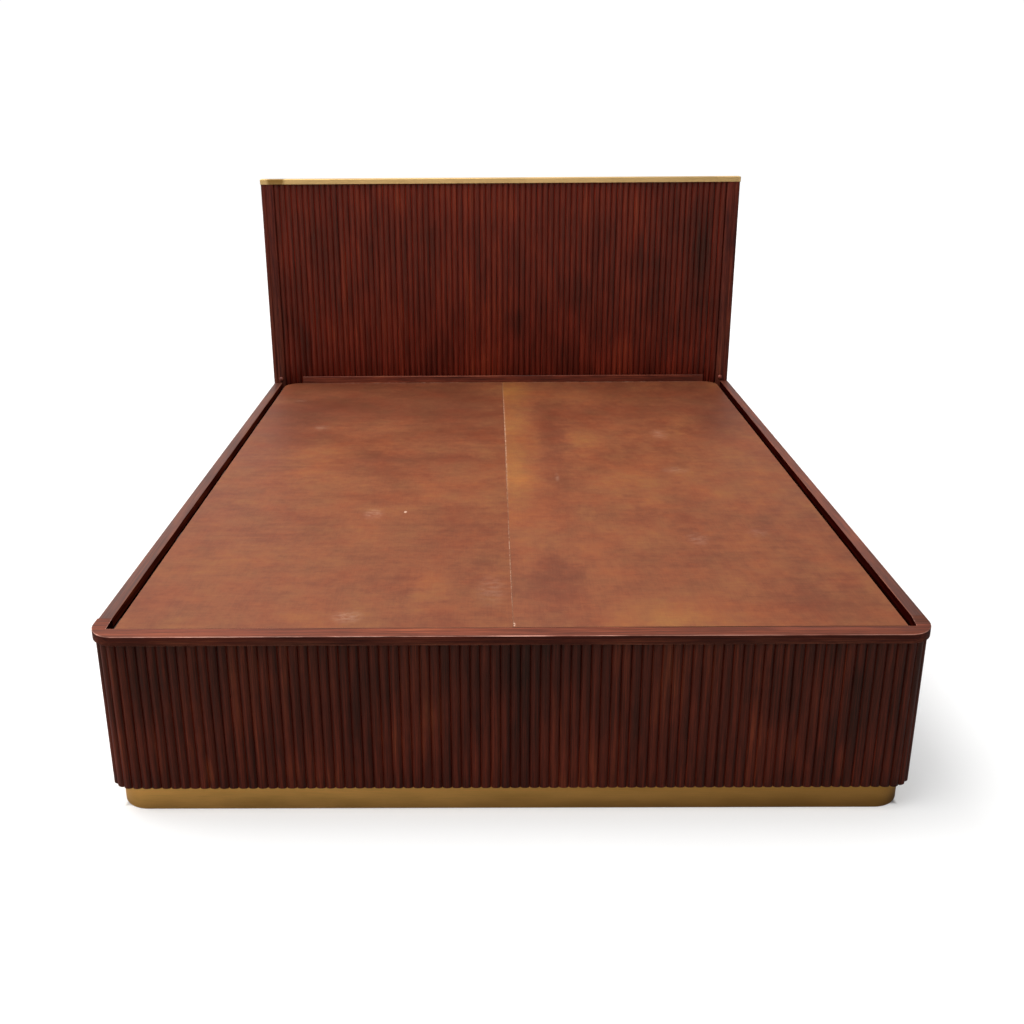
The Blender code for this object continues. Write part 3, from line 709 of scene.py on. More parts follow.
def flute_wall(name, node, run, place, finish):
    """A row of flutes on its backing as one closed mesh.

    place turns a distance along the wall and a distance out from its back into x and y.
    """
    low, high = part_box(node)
    count = max(1, round(run / FLUTE_PITCH))
    grooves = [run * i / count for i in range(count + 1)]
    for i in range(1, count):
        grooves[i] += hand.uniform(-HAND_SLACK, HAND_SLACK)
    step = (high.z - low.z - FLUTE_END_EASE) / FLUTE_LIFTS
    levels = [low.z] + [low.z + FLUTE_END_EASE + step * i for i in range(FLUTE_LIFTS + 1)]
    points = []
    crests = []
    columns = []

    def column(along, out, share, bow):
        first = len(points)
        for row, level in enumerate(levels):
            eased = FLUTE_END_EASE * share if row == 0 else 0.0
            sway = bow * math.sin(math.pi * row / FLUTE_LIFTS)
            x, y = place(along + sway * share, out - eased)
            points.append((x, y, level))
            crests.append(share)
        columns.append(first)

    owners = []
    for i in range(count):
        left, right = grooves[i], grooves[i + 1]
        depth = FLUTE_DEPTH - hand.uniform(0.0, DEPTH_SLACK)
        bow = hand.uniform(-HAND_SLACK, HAND_SLACK)
        for k in range(FLUTE_FACETS):
            around = math.pi * k / FLUTE_FACETS
            along = (left + right) / 2 - (right - left) / 2 * math.cos(around)
            share = math.sin(around)
            column(along, FLUTE_BACKING + depth * share, share, bow)
            owners.append(i)
    column(run, FLUTE_BACKING, 0.0, 0.0)
    owners.append(count - 1)
    front = list(columns)
    columns.clear()
    for i in range(count * 2 + 1):
        column(run * i / (count * 2), 0.0, 0.0, 0.0)
    back = list(columns)

    faces = []
    tones = []
    flute_tones = [hand.random() for i in range(count)]
    rows = len(levels)
    for i, (a, b) in enumerate(zip(front, front[1:])):
        for row in range(rows - 1):
            faces.append((a + row, b + row, b + row + 1, a + row + 1))
            tones.append(flute_tones[owners[i]])
    for a, b in zip(back, back[1:]):
        faces.append((a, a + rows - 1, b + rows - 1, b))
        tones.append(0.5)
    for a, b in ((front[0], back[0]), (front[-1], back[-1])):
        faces.append((a, *range(a + 1, a + rows), b + rows - 1, b))
        tones.append(0.5)
    for i in range(count):
        own = front[i * FLUTE_FACETS : (i + 1) * FLUTE_FACETS + 1]
        behind = back[i * 2 : i * 2 + 3]
        ring = own + behind[::-1]
        for row in (0, rows - 1):
            faces.append(tuple(start + row for start in ring))
            tones.append(flute_tones[i])
    used = sorted({index for face in faces for index in face})
    renumber = {old: new for new, old in enumerate(used)}
    mesh = bpy.data.meshes.new(name)
    mesh.from_pydata([points[old] for old in used], [], [[renumber[i] for i in face] for face in faces])
    tone_layer = mesh.attributes.new("flute_tone", "FLOAT", "FACE")
    tone_layer.data.foreach_set("value", tones)
    crest_layer = mesh.attributes.new("flute_crest", "FLOAT", "POINT")
    crest_layer.data.foreach_set("value", [crests[old] for old in used])
    add_piece(name, mesh, [finish], [node])
    return count


print("flutes", FLUTE_PITCH, "m apart and", FLUTE_DEPTH, "m deep")

# %% Flute the foot, the sides, the headboard and the two round corners
foot_low, foot_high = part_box("foot_flutes")
side_low, side_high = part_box("right_side_flutes")
left_low, left_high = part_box("left_side_flutes")
head_low, head_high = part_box("headboard_flutes")
corner_x = foot_high.x + GAP
corner_y = side_low.y - GAP
corner_radius = side_high.x - corner_x
skin = FLUTE_BACKING + FLUTE_DEPTH


def foot_place(along, out):
    return foot_low.x + along, foot_high.y - out


def head_place(along, out):
    return head_low.x + along, head_high.y - out


def left_place(along, out):
    return left_high.x - out, left_low.y + along


def right_place(along, out):
    return side_low.x + out, side_low.y + along


def right_corner_place(along, out):
    swing = along / corner_radius - math.pi / 2
    radius = corner_radius - skin + out
    return corner_x + radius * math.cos(swing), corner_y + radius * math.sin(swing)


def left_corner_place(along, out):
    x, y = right_corner_place(along, out)
    return -x, y


quarter = corner_radius * math.pi / 2
walls = (
    ("foot_flute_wall", "foot_flutes", foot_high.x - foot_low.x, foot_place),
    ("left_flute_wall", "left_side_flutes", left_high.y - left_low.y, left_place),
    ("right_flute_wall", "right_side_flutes", side_high.y - side_low.y, right_place),
    ("headboard_flute_wall", "headboard_flutes", head_high.x - head_low.x, head_place),
    ("left_corner_flute_wall", "foot_corner_flutes_left", quarter, left_corner_place),
    ("right_corner_flute_wall", "foot_corner_flutes_right", quarter, right_corner_place),
)
for wall_name, wall_node, wall_run, wall_place in walls:
    wall_finish = head_flute_stain_with_painted_bounce if "headboard" in wall_node else foot_flute_stain
    print(wall_name, flute_wall(wall_name, wall_node, wall_run, wall_place, wall_finish), "flutes")

# %% [markdown]
# ## Boards with eased edges
#
# Rails, boards, stiles and strips are all flat outlines with some thickness. A cube with a bevel modifier
# would do for a plain board, but the foot rail has round corners, a wide round on its outer edge and only a
# rubbed edge inside. So one helper takes an outline with a rounding for each of its edges, and lays rings
# of points from the underside to the top. The rings on a rounding also store where hands and cloths wear
# the finish first, and on the foot rail the same value places a painted highlight along the front edge.

# %% Draw outlines with rounded corners
SQUARE = (0, 0, 0, 0)


def arc(centre, radius, start, end, steps):
    """Points along an arc between two angles in degrees, both ends included."""
    angles = [math.radians(start + (end - start) * i / steps) for i in range(steps + 1)]
    return [(centre[0] + radius * math.cos(a), centre[1] + radius * math.sin(a)) for a in angles]


def rounded_corner(corner, before, after, radius, steps=4):
    """The points of a rounding that replaces a square corner between two neighbours."""
    here = Vector(corner)
    back = (Vector(before) - here).normalized()
    on = (Vector(after) - here).normalized()
    middle = here + (back + on) * radius
    start = math.atan2(-on.y, -on.x)
    sweep = math.atan2(-back.y, -back.x) - start
    sweep = (sweep + math.pi) % (2 * math.pi) - math.pi
    turns = [start + sweep * i / steps for i in range(steps + 1)]
    return [(middle.x + radius * math.cos(a), middle.y + radius * math.sin(a)) for a in turns]


def rounded_box(low, high, radii, steps=4):
    """A box outline, anticlockwise from its lower left corner, with a radius for each corner."""
    corners = [(low[0], low[1]), (high[0], low[1]), (high[0], high[1]), (low[0], high[1])]
    outline = []
    for i, corner in enumerate(corners):
        if radii[i] > 0:
            outline += rounded_corner(corner, corners[i - 1], corners[(i + 1) % 4], radii[i], steps)
        else:
            outline.append(corner)
    return outline


print("outline helpers ready")

# %% Ease the edges of a board
EASE_RINGS = 5
NEARLY_STRAIGHT = 0.2              # a turn between two edges that is treated as one curve


def edge_shift(first, second, near, far):
    """How a corner moves when its two edges move in by their own distances."""
    turn_between = first.x * second.y - first.y * second.x
    if abs(turn_between) < NEARLY_STRAIGHT:
        return (first + second).normalized() * ((near + far) / 2)
    return Vector((near * second.y - far * first.y, far * first.x - near * second.x)) / turn_between


def eased_board(name, outline, low_z, high_z, top_ease, under_ease=0.001):
    """A board from an anticlockwise outline, with a rounding along each upper edge.

    top_ease is one radius, or one for each edge, where edge i runs from point i to the next. An edge with
    none stays square, as at a butt joint.
    """
    count = len(outline)
    eases = list(top_ease) if isinstance(top_ease, (list, tuple)) else [top_ease] * count
    inward = []
    for i in range(count):
        a, b = Vector(outline[i]), Vector(outline[(i + 1) % count])
        edge = (b - a).normalized()
        inward.append(Vector((-edge.y, edge.x)))
    rings = []
    edge_shares = []

    def ring(insets, drops, edge_share):
        row = []
        for i, point in enumerate(outline):
            move = edge_shift(inward[i - 1], inward[i], insets[i - 1], insets[i])
            row.append((point[0] + move.x, point[1] + move.y, drops[i]))
        rings.append(row)
        edge_shares.append(edge_share)

    under = [min(under_ease, ease) for ease in eases]
    radius = [max(eases[i - 1], eases[i]) for i in range(count)]
    under_radius = [max(under[i - 1], under[i]) for i in range(count)]
    ring(under, [low_z] * count, 0.0)
    ring([0.0] * count, [low_z + r for r in under_radius], 0.3)
    for k in range(EASE_RINGS + 1):
        angle = math.pi / 2 * k / EASE_RINGS
        insets = [ease * (1 - math.cos(angle)) for ease in eases]
        heights = [high_z - r * (1 - math.sin(angle)) for r in radius]
        ring(insets, heights, math.sin(2 * angle))
    points = [point for row in rings for point in row]
    faces = [tuple(reversed(range(count))), tuple((len(rings) - 1) * count + i for i in range(count))]
    for r in range(len(rings) - 1):
        for i in range(count):
            j = (i + 1) % count
            faces.append((r * count + i, r * count + j, (r + 1) * count + j, (r + 1) * count + i))
    mesh = bpy.data.meshes.new(name)
    mesh.from_pydata(points, [], faces)
    # The edge value marks worn edges, and on the foot rail where its painted highlight goes.
    layer = mesh.attributes.new("edge_wear_and_highlight", "FLOAT", "POINT")
    layer.data.foreach_set("value", [edge_share for edge_share in edge_shares for i in range(count)])
    return mesh


def add_board(name, outline, node, finishes, slot, top_ease, under_ease=0.001, body="frame"):
    """An eased board in place of one solid, between that solid's underside and its top."""
    low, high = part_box(node)
    mesh = eased_board(name, outline, low.z, high.z, top_ease, under_ease)
    return add_piece(name, mesh, finishes, [node], body)


def joined(name, lengths):
    """Several closed lengths made into one mesh."""
    bm = bmesh.new()
    for length in lengths:
        bm.from_mesh(length)
        bpy.data.meshes.remove(length)
    whole = bpy.data.meshes.new(name)
    bm.to_mesh(whole)
    bm.free()
    return whole


print("board helpers ready")

# %% [markdown]
# ## The top rails
#
# A thin rail runs round the base and hides the ends of the flutes. Its outer edge is eased, and on the foot
# rail a pale pink colour along that easing paints the fine highlight of the overhead light, fading towards
# the right. A bar runs across the foot, and short arms, glued on behind it, carry the round corners on to
# the side rails. The outer faces have a darker copy of the stain than the tops, painted shade for the light
# that falls on the tops and not on the faces. The faces inside the finger slots have their own copies,
# painted shade for the dark of the slots, and the left slot's are a shade lighter than the right one's. So a
# rail has three finishes, chosen by where a face looks. The right finger slot ends in the round that a
# router leaves, the left one was squared with a chisel. The left side rail sits a few millimetres in, which
# shows as a small step. Each length is its own closed outline.

# %% Round the foot rail
RAIL_ROUND = 0.0018
RAIL_RUB = 0.0010
SLOT_END_RADIUS = 0.0045
LEFT_RAIL_STEP = 0.0030
FOOT_RAIL_ARM = 0.038
CORNER_STEPS = 28
GLUE_LINE = 0.0003
DECK_END_GAP = 0.0015
UPRIGHT_LOOK = 0.3
INWARD_LOOK = 0.02

rail_low, rail_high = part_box("foot_top_rail")
right_rail_low, right_rail_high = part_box("right_top_rail")
left_rail_low, left_rail_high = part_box("left_top_rail")
rail_radius = corner_radius + rail_high.x - side_high.x
arm_inner = rail_high.x - FOOT_RAIL_ARM
rail_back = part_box("deck_board_right")[0].y - DECK_END_GAP
deck_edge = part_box("deck_board_right")[1].x + GLUE_LINE
corner_middle = (rail_high.x - rail_radius, rail_low.y + rail_radius)
joint_turn = math.degrees(math.asin((rail_back - corner_middle[1]) / rail_radius))

front_arc = arc(corner_middle, rail_radius, -90, joint_turn, CORNER_STEPS)
slot_ends = (arm_inner - SLOT_END_RADIUS, deck_edge + SLOT_END_RADIUS)
slot_y = rail_back + SLOT_END_RADIUS
routed = [(arm_inner, rail_back)] + arc((slot_ends[0], slot_y), SLOT_END_RADIUS, 0, -90, 6)
routed += arc((slot_ends[1], slot_y), SLOT_END_RADIUS, -90, -180, 6) + [(deck_edge, rail_back)]
left_arc = [(-x, y) for x, y in reversed(front_arc)]
bar_outline = front_arc + routed + left_arc
bar_eases = [RAIL_ROUND] * (len(front_arc) - 1) + [0.0] * len(routed) + [RAIL_RUB]
bar_eases += [RAIL_ROUND] * len(left_arc)
lengths = [eased_board("foot_bar", bar_outline, rail_low.z, rail_high.z, bar_eases)]

joint_arc = arc(corner_middle, rail_radius, joint_turn, 0, CORNER_STEPS // 3)
for word, side, rail_inner in (("right", 1, right_rail_low.x), ("left", -1, -left_rail_high.x)):
    arm_outline = [(arm_inner, rail_back + GLUE_LINE)] + joint_arc
    arm_outline += [(rail_high.x, rail_high.y), (rail_inner, rail_high.y)]
    arm_eases = [0.0] + [RAIL_ROUND] * len(joint_arc) + [0.0, RAIL_RUB]
    if side < 0:
        arm_outline = [(-x, y) for x, y in reversed(arm_outline)]
        arm_eases = list(reversed(arm_eases[:-1])) + [RAIL_RUB]
    lengths.append(eased_board(f"{word}_arm", arm_outline, rail_low.z, rail_high.z, arm_eases))


def dress_rail(piece):
    """Give a rail's upright faces their own finish: 1 on the outside, 2 on the inside."""
    for face in piece.data.polygons:
        # Outer faces take a darker copy of the stain and faces inside the slots their own copies, all
        # painted shade.
        if abs(face.normal.z) < UPRIGHT_LOOK:
            inward = face.normal.x * face.center.x + max(face.normal.y, 0.0) * face.center.y
            face.material_index = 2 if inward < -INWARD_LOOK else 1


foot_rail = joined("foot_rail_rounded", lengths)
foot_stains = [foot_rail_stain, rail_face_painted_shade, slot_painted_shade]
dress_rail(add_piece("foot_rail_rounded", foot_rail, foot_stains, ["foot_top_rail"]))
print("foot bar outline", len(bar_outline), "points, glued to its arms at", round(rail_back, 4), "m")

# %% Set the side rails
# The right rail runs straight on from the corner, and the left one starts a step further in.
right_outline = rounded_box(right_rail_low, right_rail_high, SQUARE)
right_stains = [right_rail_stain, rail_face_painted_shade, slot_painted_shade]
left_start = Vector((left_rail_low.x + LEFT_RAIL_STEP, left_rail_low.y))
left_outline = rounded_box(left_start, left_rail_high, SQUARE)
left_stains = [left_rail_stain, rail_face_painted_shade, left_slot_painted_shade]
side_rails = (
    ("right", right_outline, right_stains, [0.0, RAIL_ROUND, 0.0, RAIL_RUB]),
    ("left", left_outline, left_stains, [0.0, RAIL_RUB, 0.0, RAIL_ROUND]),
)
for word, outline, stains, eases in side_rails:
    node = f"{word}_top_rail"
    dress_rail(add_board(f"{word}_rail_rounded", outline, node, stains, "stained_wood", eases))
print("side rails", round(right_rail_high.y - right_rail_low.y, 3), "m long")

# %% [markdown]
# ## The headboard's frame
#
# Two stiles stand at the ends of the headboard. Each was run through a shaper: a rounded outer edge, a fine
# groove beside it and then a low crown, which is light on the side that faces the overhead light and dark
# on the other. Its outline from above carries that shape, and the height does the rest. A round button low
# on each stile covers the bolt that holds the headboard, and a thin batten covers the foot of the flutes.

# %% Shape the stiles
STILE_ROUND = 0.008
STILE_ROUND_STEPS = 6
STILE_RUB = 0.0015
STILE_END_RUB = 0.0004
GROOVE_MIDDLE = 0.0165             # from the stile's outer side
GROOVE_HALF = 0.0018
GROOVE_DEPTH = 0.0020
CROWN_HEIGHT = 0.0030
CROWN_STEPS = 12


def stile_face(width):
    """Distances from the stile's outer side, each with how far the face lies behind its foremost plane."""
    face = arc((STILE_ROUND, STILE_ROUND), STILE_ROUND, 180, 270, STILE_ROUND_STEPS)
    face += [(GROOVE_MIDDLE - GROOVE_HALF, 0.0), (GROOVE_MIDDLE, GROOVE_DEPTH)]
    crown_start = GROOVE_MIDDLE + GROOVE_HALF
    half = (width - STILE_RUB - crown_start) / 2
    for i in range(CROWN_STEPS + 1):
        along = 2 * i / CROWN_STEPS - 1
        face.append((crown_start + half + half * along, CROWN_HEIGHT * along * along))
    return face + [(width, CROWN_HEIGHT + STILE_RUB)]


for word, side in (("left", 1), ("right", -1)):
    node = f"headboard_stile_{word}"
    stile_low, stile_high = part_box(node)
    outside = stile_low.x if side > 0 else stile_high.x
    width = stile_high.x - stile_low.x
    front = [(outside + side * across, stile_low.y + behind) for across, behind in stile_face(width)]
    back = [(outside + side * width, stile_high.y), (outside, stile_high.y)]
    outline = front + back if side > 0 else list(reversed(front + back))
    rubs = (STILE_END_RUB, STILE_END_RUB)
    add_board(f"stile_{word}_shaped", outline, node, [upright_stain], "stained_wood", *rubs)
    print(f"{word} stile", round(width, 4), "m wide,", len(outline), "points")

# %% Turn the buttons
BUTTON_SIDES = 32
BUTTON_RINGS = 10
BUTTON_DOME = 0.6                  # below 1 the dome is fuller than a ball

for word in ("left", "right"):
    node = f"headboard_button_{word}"
    button_low, button_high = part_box(node)
    middle = (button_low + button_high) / 2
    radius = (button_high.x - button_low.x) / 2
    proud = button_high.y - button_low.y
    button_bm = bmesh.new()
    rings = []
    for i in range(BUTTON_RINGS):
        lift = math.sin(math.pi / 2 * i / BUTTON_RINGS)
        size = radius * math.cos(math.pi / 2 * i / BUTTON_RINGS) ** BUTTON_DOME
        circle = arc((middle.x, middle.z), size, 0, 360, BUTTON_SIDES)[:-1]
        rings.append([button_bm.verts.new((x, button_high.y - proud * lift, z)) for x, z in circle])
    for lower, upper in zip(rings, rings[1:]):
        for i in range(BUTTON_SIDES):
            j = (i + 1) % BUTTON_SIDES
            button_bm.faces.new((lower[i], lower[j], upper[j], upper[i]))
    button_bm.faces.new(rings[0])
    button_bm.faces.new(rings[-1])
    button = bpy.data.meshes.new(f"button_{word}_turned")
    button_bm.to_mesh(button)
    button_bm.free()
    add_piece(f"button_{word}_turned", button, [button_stain_and_highlight], [node])
print("two buttons", round(2 * radius, 3), "m across")

# %% Ease the batten
BATTEN_ROUND = 0.003
BATTEN_CORNERS = (0.002, 0.002, 0.001, 0.001)
BATTEN_RIGHT_REACH = 0.019         # the batten ends this much further right than its solid
SMALL_CORNER_STEPS = 3

batten_low, batten_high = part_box("headboard_batten")
batten_high.x += BATTEN_RIGHT_REACH
batten_outline = rounded_box(batten_low, batten_high, BATTEN_CORNERS, SMALL_CORNER_STEPS)
add_board("batten_eased", batten_outline, "headboard_batten", [batten_stain], "stained_wood", BATTEN_ROUND)
print("batten", round(batten_high.x - batten_low.x, 3), "m long")

# %% [markdown]
# ## The deck boards
#
# The deck is two loose boards of stained plywood. Their stain is thinner and more orange than on the
# flutes, laid on with a wide brush, so it has soft clouds, faint streaks from side to side and fine threads
# along the bed. A few pale scuffs lie where things were set down; each is a spot on the board, broken up by
# noise. Thin pale lines laid the same way are painted highlights: one along each board's eased back edge,
# and one along the seam, where the pale line is worn wood as well. The right board has a paler band along
# the seam. The edges show the layers of the plywood, painted dark as painted shade for the finger slots,
# which a board lifted out would show too. Faces that look sideways take that second finish.

# %% Mix the deck stain
SEAM_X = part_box("deck_board_left")[1].x
DECK_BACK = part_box("deck_board_left")[1].y
DECK_STEPS = (
    (0.32, (0.094, 0.0255, 0.0118)),
    (0.44, (0.124, 0.0355, 0.0155)),
    (0.53, (0.156, 0.0480, 0.0192)),
    (0.63, (0.182, 0.0620, 0.0208)),
    (0.76, (0.222, 0.0850, 0.0230)),
)
DECK_TINGES = ((0.34, (1.05, 0.95, 0.92)), (0.50, (1.0, 1.0, 1.0)), (0.66, (0.96, 1.05, 1.04)))
SCUFF_AND_HIGHLIGHT_COLOUR = (0.40, 0.245, 0.175)
CHIPPED = (0.32, 0.165, 0.090)
PATCH_WANDER = (0.10, 0.30, 0.0)   # draws the edges of the patches out along the boards


def deck_finish(name, lean, streak, band, patches, scuffs_and_highlights):
    """Orange-brown stain on plywood. lean shifts its clouds, streak draws them out along x or y.

    band is how much thinner the stain is beside the seam.
    """
    material, tree, shader, place = new_finish(name)
    moved = vectors(tree, "ADD", place, lean)
    clouds = noise(tree, moved, 4.6, 4.0, 0.55, streak)
    blotches = noise(tree, moved, 15.0, 4.0, 0.6, streak)
    mottle = noise(tree, moved, 42.0, 5.0, 0.7)
    brushed = noise(tree, moved, 60.0, 5.0, 0.6, (0.05, 1.0, 1.0))
    threads = noise(tree, moved, 240.0, 3.0, 0.6, (1.0, 0.05, 1.0))
    fibres = noise(tree, moved, 700.0, 3.0, 0.6, (0.05, 1.0, 1.0))
    broad = ((clouds, 0.26), (blotches, 0.24), (mottle, 0.22))
    depth = blend(tree, *broad, (brushed, 0.12), (threads, 0.10), (fibres, 0.06))
    # From the middle on the deck is painted darker towards the headboard, as painted shade, and at the very
    # back it is painted paler again, as painted light that thins the shade under the headboard.
    back = along_axis(tree, place, "Y")
    depth = minus(tree, depth, reach(tree, back, 0.0, 0.8, 0.0, 0.07))
    depth = plus(tree, depth, reach(tree, back, 0.66, 0.90, 0.0, 0.095))
    if band:
        beside = reach(tree, along_axis(tree, place, "X"), SEAM_X + 0.03, SEAM_X + 0.15, band, 0.0)
        depth = plus(tree, depth, times(tree, beside, reach(tree, back, -0.75, -0.05)))
    ragged = pushed(tree, place, PATCH_WANDER, blotches)
    depth = plus(tree, depth, marks(tree, ragged, (0, 1), patches, 0.1))
    colour = ramp(tree, depth, *DECK_STEPS)
    hue = noise(tree, moved, 9.0, 5.0, 0.65)
    colour = lay(tree, 1.0, colour, ramp(tree, hue, *DECK_TINGES), "MULTIPLY")
    colour = shaded(tree, colour, reach(tree, fibres, 0.30, 0.45, 0.86, 1.0))
    # Scuffs and rubbed edges show the paler wood, and the scuffs are rougher too. The scuff colour also
    # paints highlights along the back edges and, with worn wood, along the seam.
    broken = reach(tree, noise(tree, moved, 90.0, 4.0, 0.7, (0.5, 1.0, 1.0)), 0.36, 0.66)
    scuffed_and_highlit = times(tree, marks(tree, place, (0, 1), scuffs_and_highlights, 0.1), broken)
    colour = lay(tree, scuffed_and_highlit, colour, SCUFF_AND_HIGHLIGHT_COLOUR)
    chipped = times(tree, stored(tree, "edge_wear_and_highlight"), reach(tree, brushed, 0.35, 0.6, 0.25, 0.8))
    colour = lay(tree, chipped, colour, CHIPPED)
    rough = plus(tree, reach(tree, clouds, 0.3, 0.7, 0.48, 0.58), times(tree, scuffed_and_highlit, 0.2))
    bump = bump_of(tree, blend(tree, (fibres, 0.5), (brushed, 0.5)), 0.25, 0.0004)
    join_shader(tree, shader, Base_Color=colour, Roughness=rough, Normal=bump)
    set_shader(shader, Specular_IOR_Level=0.13)
    return material


print("deck stain in", len(DECK_STEPS), "steps")

# %% Mix the plywood edge
LAYER_WAVE = 3000.0                # a light and a dark layer every two millimetres
# The veneer colours are kept dark: painted shade, so that the board edges stay dark in the finger slots.
VENEERS_IN_PAINTED_SHADE = ((0.15, (0.010, 0.004, 0.002)), (0.5, (0.034, 0.012, 0.006)), (0.85, (0.075, 0.032, 0.015)))


def ply_edge_finish():
    """Thin layers of veneer, light and dark by turns, as a saw leaves them, all painted dark as painted
    shade.
    """
    material, tree, shader, place = new_finish("plywood_edge")
    height = along_axis(tree, place, "Z")
    wander = noise(tree, place, 40.0, 3.0, 0.5)
    layered = blend(tree, (height, LAYER_WAVE), (wander, 1.6))
    wave = add_node(tree, "ShaderNodeMath", {0: layered}, operation="SINE").outputs[0]
    fibres = noise(tree, place, 600.0, 3.0, 0.6)
    layer = plus(tree, times(tree, wave, 0.32), fibres)
    colour = ramp(tree, layer, *VENEERS_IN_PAINTED_SHADE)
    bump = bump_of(tree, layer, 0.5, 0.0006)
    join_shader(tree, shader, Base_Color=colour, Normal=bump)
    set_shader(shader, Roughness=0.85, Specular_IOR_Level=0.05)
    return material


ply_edge = ply_edge_finish()
print("plywood edge in", len(VENEERS_IN_PAINTED_SHADE), "shades")

# %% Place the patches and scuffs
# A row is a place in x and y, two half sizes, and how much paler or how scuffed the stain is there. The
# rows along the seam and the back edges are painted highlights.
LEFT_PATCHES = (
    (-0.50, 1.10, 0.75, 0.55, -0.12),
    (-0.12, 0.75, 0.22, 0.80, -0.05),
    (-0.15, -0.72, 0.10, 0.18, 0.09),
    (-0.55, 0.25, 0.16, 0.24, 0.08),
    (-0.03, -0.65, 0.12, 0.20, -0.06),
    (-0.70, 0.77, 0.24, 0.30, -0.08),
    (-0.70, 0.48, 0.18, 0.20, -0.07),
    (-0.34, 0.20, 0.45, 0.17, -0.07),
)
RIGHT_PATCHES = (
    (0.85, 1.00, 0.34, 0.50, -0.10),
    (0.42, 1.15, 0.30, 0.22, -0.08),
    (0.24, 0.48, 0.07, 0.50, -0.09),
    (0.34, 0.45, 0.10, 0.22, 0.08),
    (0.44, 0.00, 0.14, 0.24, 0.07),
    (0.72, 0.66, 0.10, 0.20, 0.08),
    (0.17, -0.70, 0.10, 0.22, -0.12),
    (0.42, -0.90, 0.21, 0.18, 0.12),
    (0.62, -0.35, 0.36, 0.36, -0.04),
    (0.86, 0.67, 0.14, 0.22, -0.08),
    (0.82, 0.48, 0.14, 0.20, -0.07),
    (0.16, 0.20, 0.13, 0.17, -0.06),
    (0.78, -0.80, 0.26, 0.20, -0.06),
)
LEFT_SCUFFS_AND_HIGHLIGHTS = (
    (-0.293, -0.379, 0.006, 0.010, 3.0),
    (-0.384, -0.393, 0.040, 0.060, 0.24),
    (-0.381, -1.024, 0.050, 0.045, 0.24),
    (-0.802, 0.801, 0.030, 0.020, 0.20),
    (-0.663, 0.440, 0.040, 0.040, 0.20),
    (-0.042, -0.888, 0.050, 0.120, 0.12),
    # These two rows paint a pale line along the seam: worn wood and a painted highlight.
    (SEAM_X, -0.700, 0.0030, 0.450, 0.8),
    (SEAM_X, -0.100, 0.0026, 0.450, 0.6),
    # A painted highlight along the eased back edge.
    (-0.450, DECK_BACK, 0.600, 0.009, 0.5),
)
RIGHT_SCUFFS_AND_HIGHLIGHTS = (
    (0.560, 0.345, 0.040, 0.080, 0.20),
    (0.557, -0.033, 0.060, 0.040, 0.16),
    (0.522, -0.585, 0.040, 0.060, 0.16),
    (0.696, -0.544, 0.040, 0.040, 0.12),
    (0.168, -0.092, 0.010, 0.050, 0.24),
    # A pale line along the seam: worn wood and a painted highlight.
    (SEAM_X, 0.400, 0.0070, 0.900, 0.9),
    (SEAM_X, -1.062, 0.007, 0.014, 4.0),
    # A painted highlight along the eased back edge.
    (0.450, DECK_BACK, 0.600, 0.009, 0.5),
)
deck_stains = {
    "left": deck_finish("deck_stain_left", (0.0, 0.0, 0.0), (0.7, 1.0, 1.0), 0.0, LEFT_PATCHES, LEFT_SCUFFS_AND_HIGHLIGHTS),
    "right": deck_finish(
        "deck_stain_right", (4.3, 1.7, 0.9), (1.0, 0.7, 1.0), 0.17, RIGHT_PATCHES, RIGHT_SCUFFS_AND_HIGHLIGHTS
    ),
}
print("deck stains", sorted(deck_stains))

# %% Cut the deck boards
BOARD_RUB = 0.0005
BOARD_CORNER = 0.0012
LEFT_BOARD_PUSH = 0.0011           # how far the left board was pushed up to the foot rail
SEAM_PUSH = 0.00025                # and how far both were pushed together
BOARD_REAR_RADIUS = 0.055
BOARD_CORNER_STEPS = 14
FLAT_LOOK = 0.5

for word in ("left", "right"):
    node = f"deck_board_{word}"
    board_low, board_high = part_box(node)
    rear = (BOARD_CORNER, BOARD_REAR_RADIUS) if word == "left" else (BOARD_REAR_RADIUS, BOARD_CORNER)
    if word == "left":
        near, far = (board_low.x, board_low.y - LEFT_BOARD_PUSH), (board_high.x + SEAM_PUSH, board_high.y)
    else:
        near, far = (board_low.x - SEAM_PUSH, board_low.y), (board_high.x, board_high.y)
    outline = rounded_box(near, far, (BOARD_CORNER, BOARD_CORNER, *rear), BOARD_CORNER_STEPS)
    finishes = [deck_stains[word], ply_edge]
    piece = add_board(
        f"{word}_deck_stained", outline, node, finishes, "deck_plywood", BOARD_RUB, body=f"{word}_board"
    )
    for face in piece.data.polygons:
        face.material_index = 1 if abs(face.normal.z) < FLAT_LOOK else 0
    print(node, [round(side, 3) for side in board_high - board_low])

# %% [markdown]
# ## The brass
#
# Two brass trims: a strip round the plinth and a cap on the headboard. Both are sheet brass rubbed with a
# fine abrasive along its length, then lacquered, and by now a little dull. The brushed look is a noise drawn
# out along its length, in the roughness and the bump as well as in the colour. Brown tarnish creeps up from
# the floor on the plinth, and it covers most of the cap's left end piece. The plinth is also laid darker in
# that brown towards its right end, as painted shade, away from the light on the left.

# %% Mix the brass
DULLED = (0.92, 0.90, 0.84)
BRIGHT = (1.03, 1.06, 1.12)
TARNISHED = (0.37, 0.29, 0.17)
POLISHED_EDGE = (0.86, 0.66, 0.32)


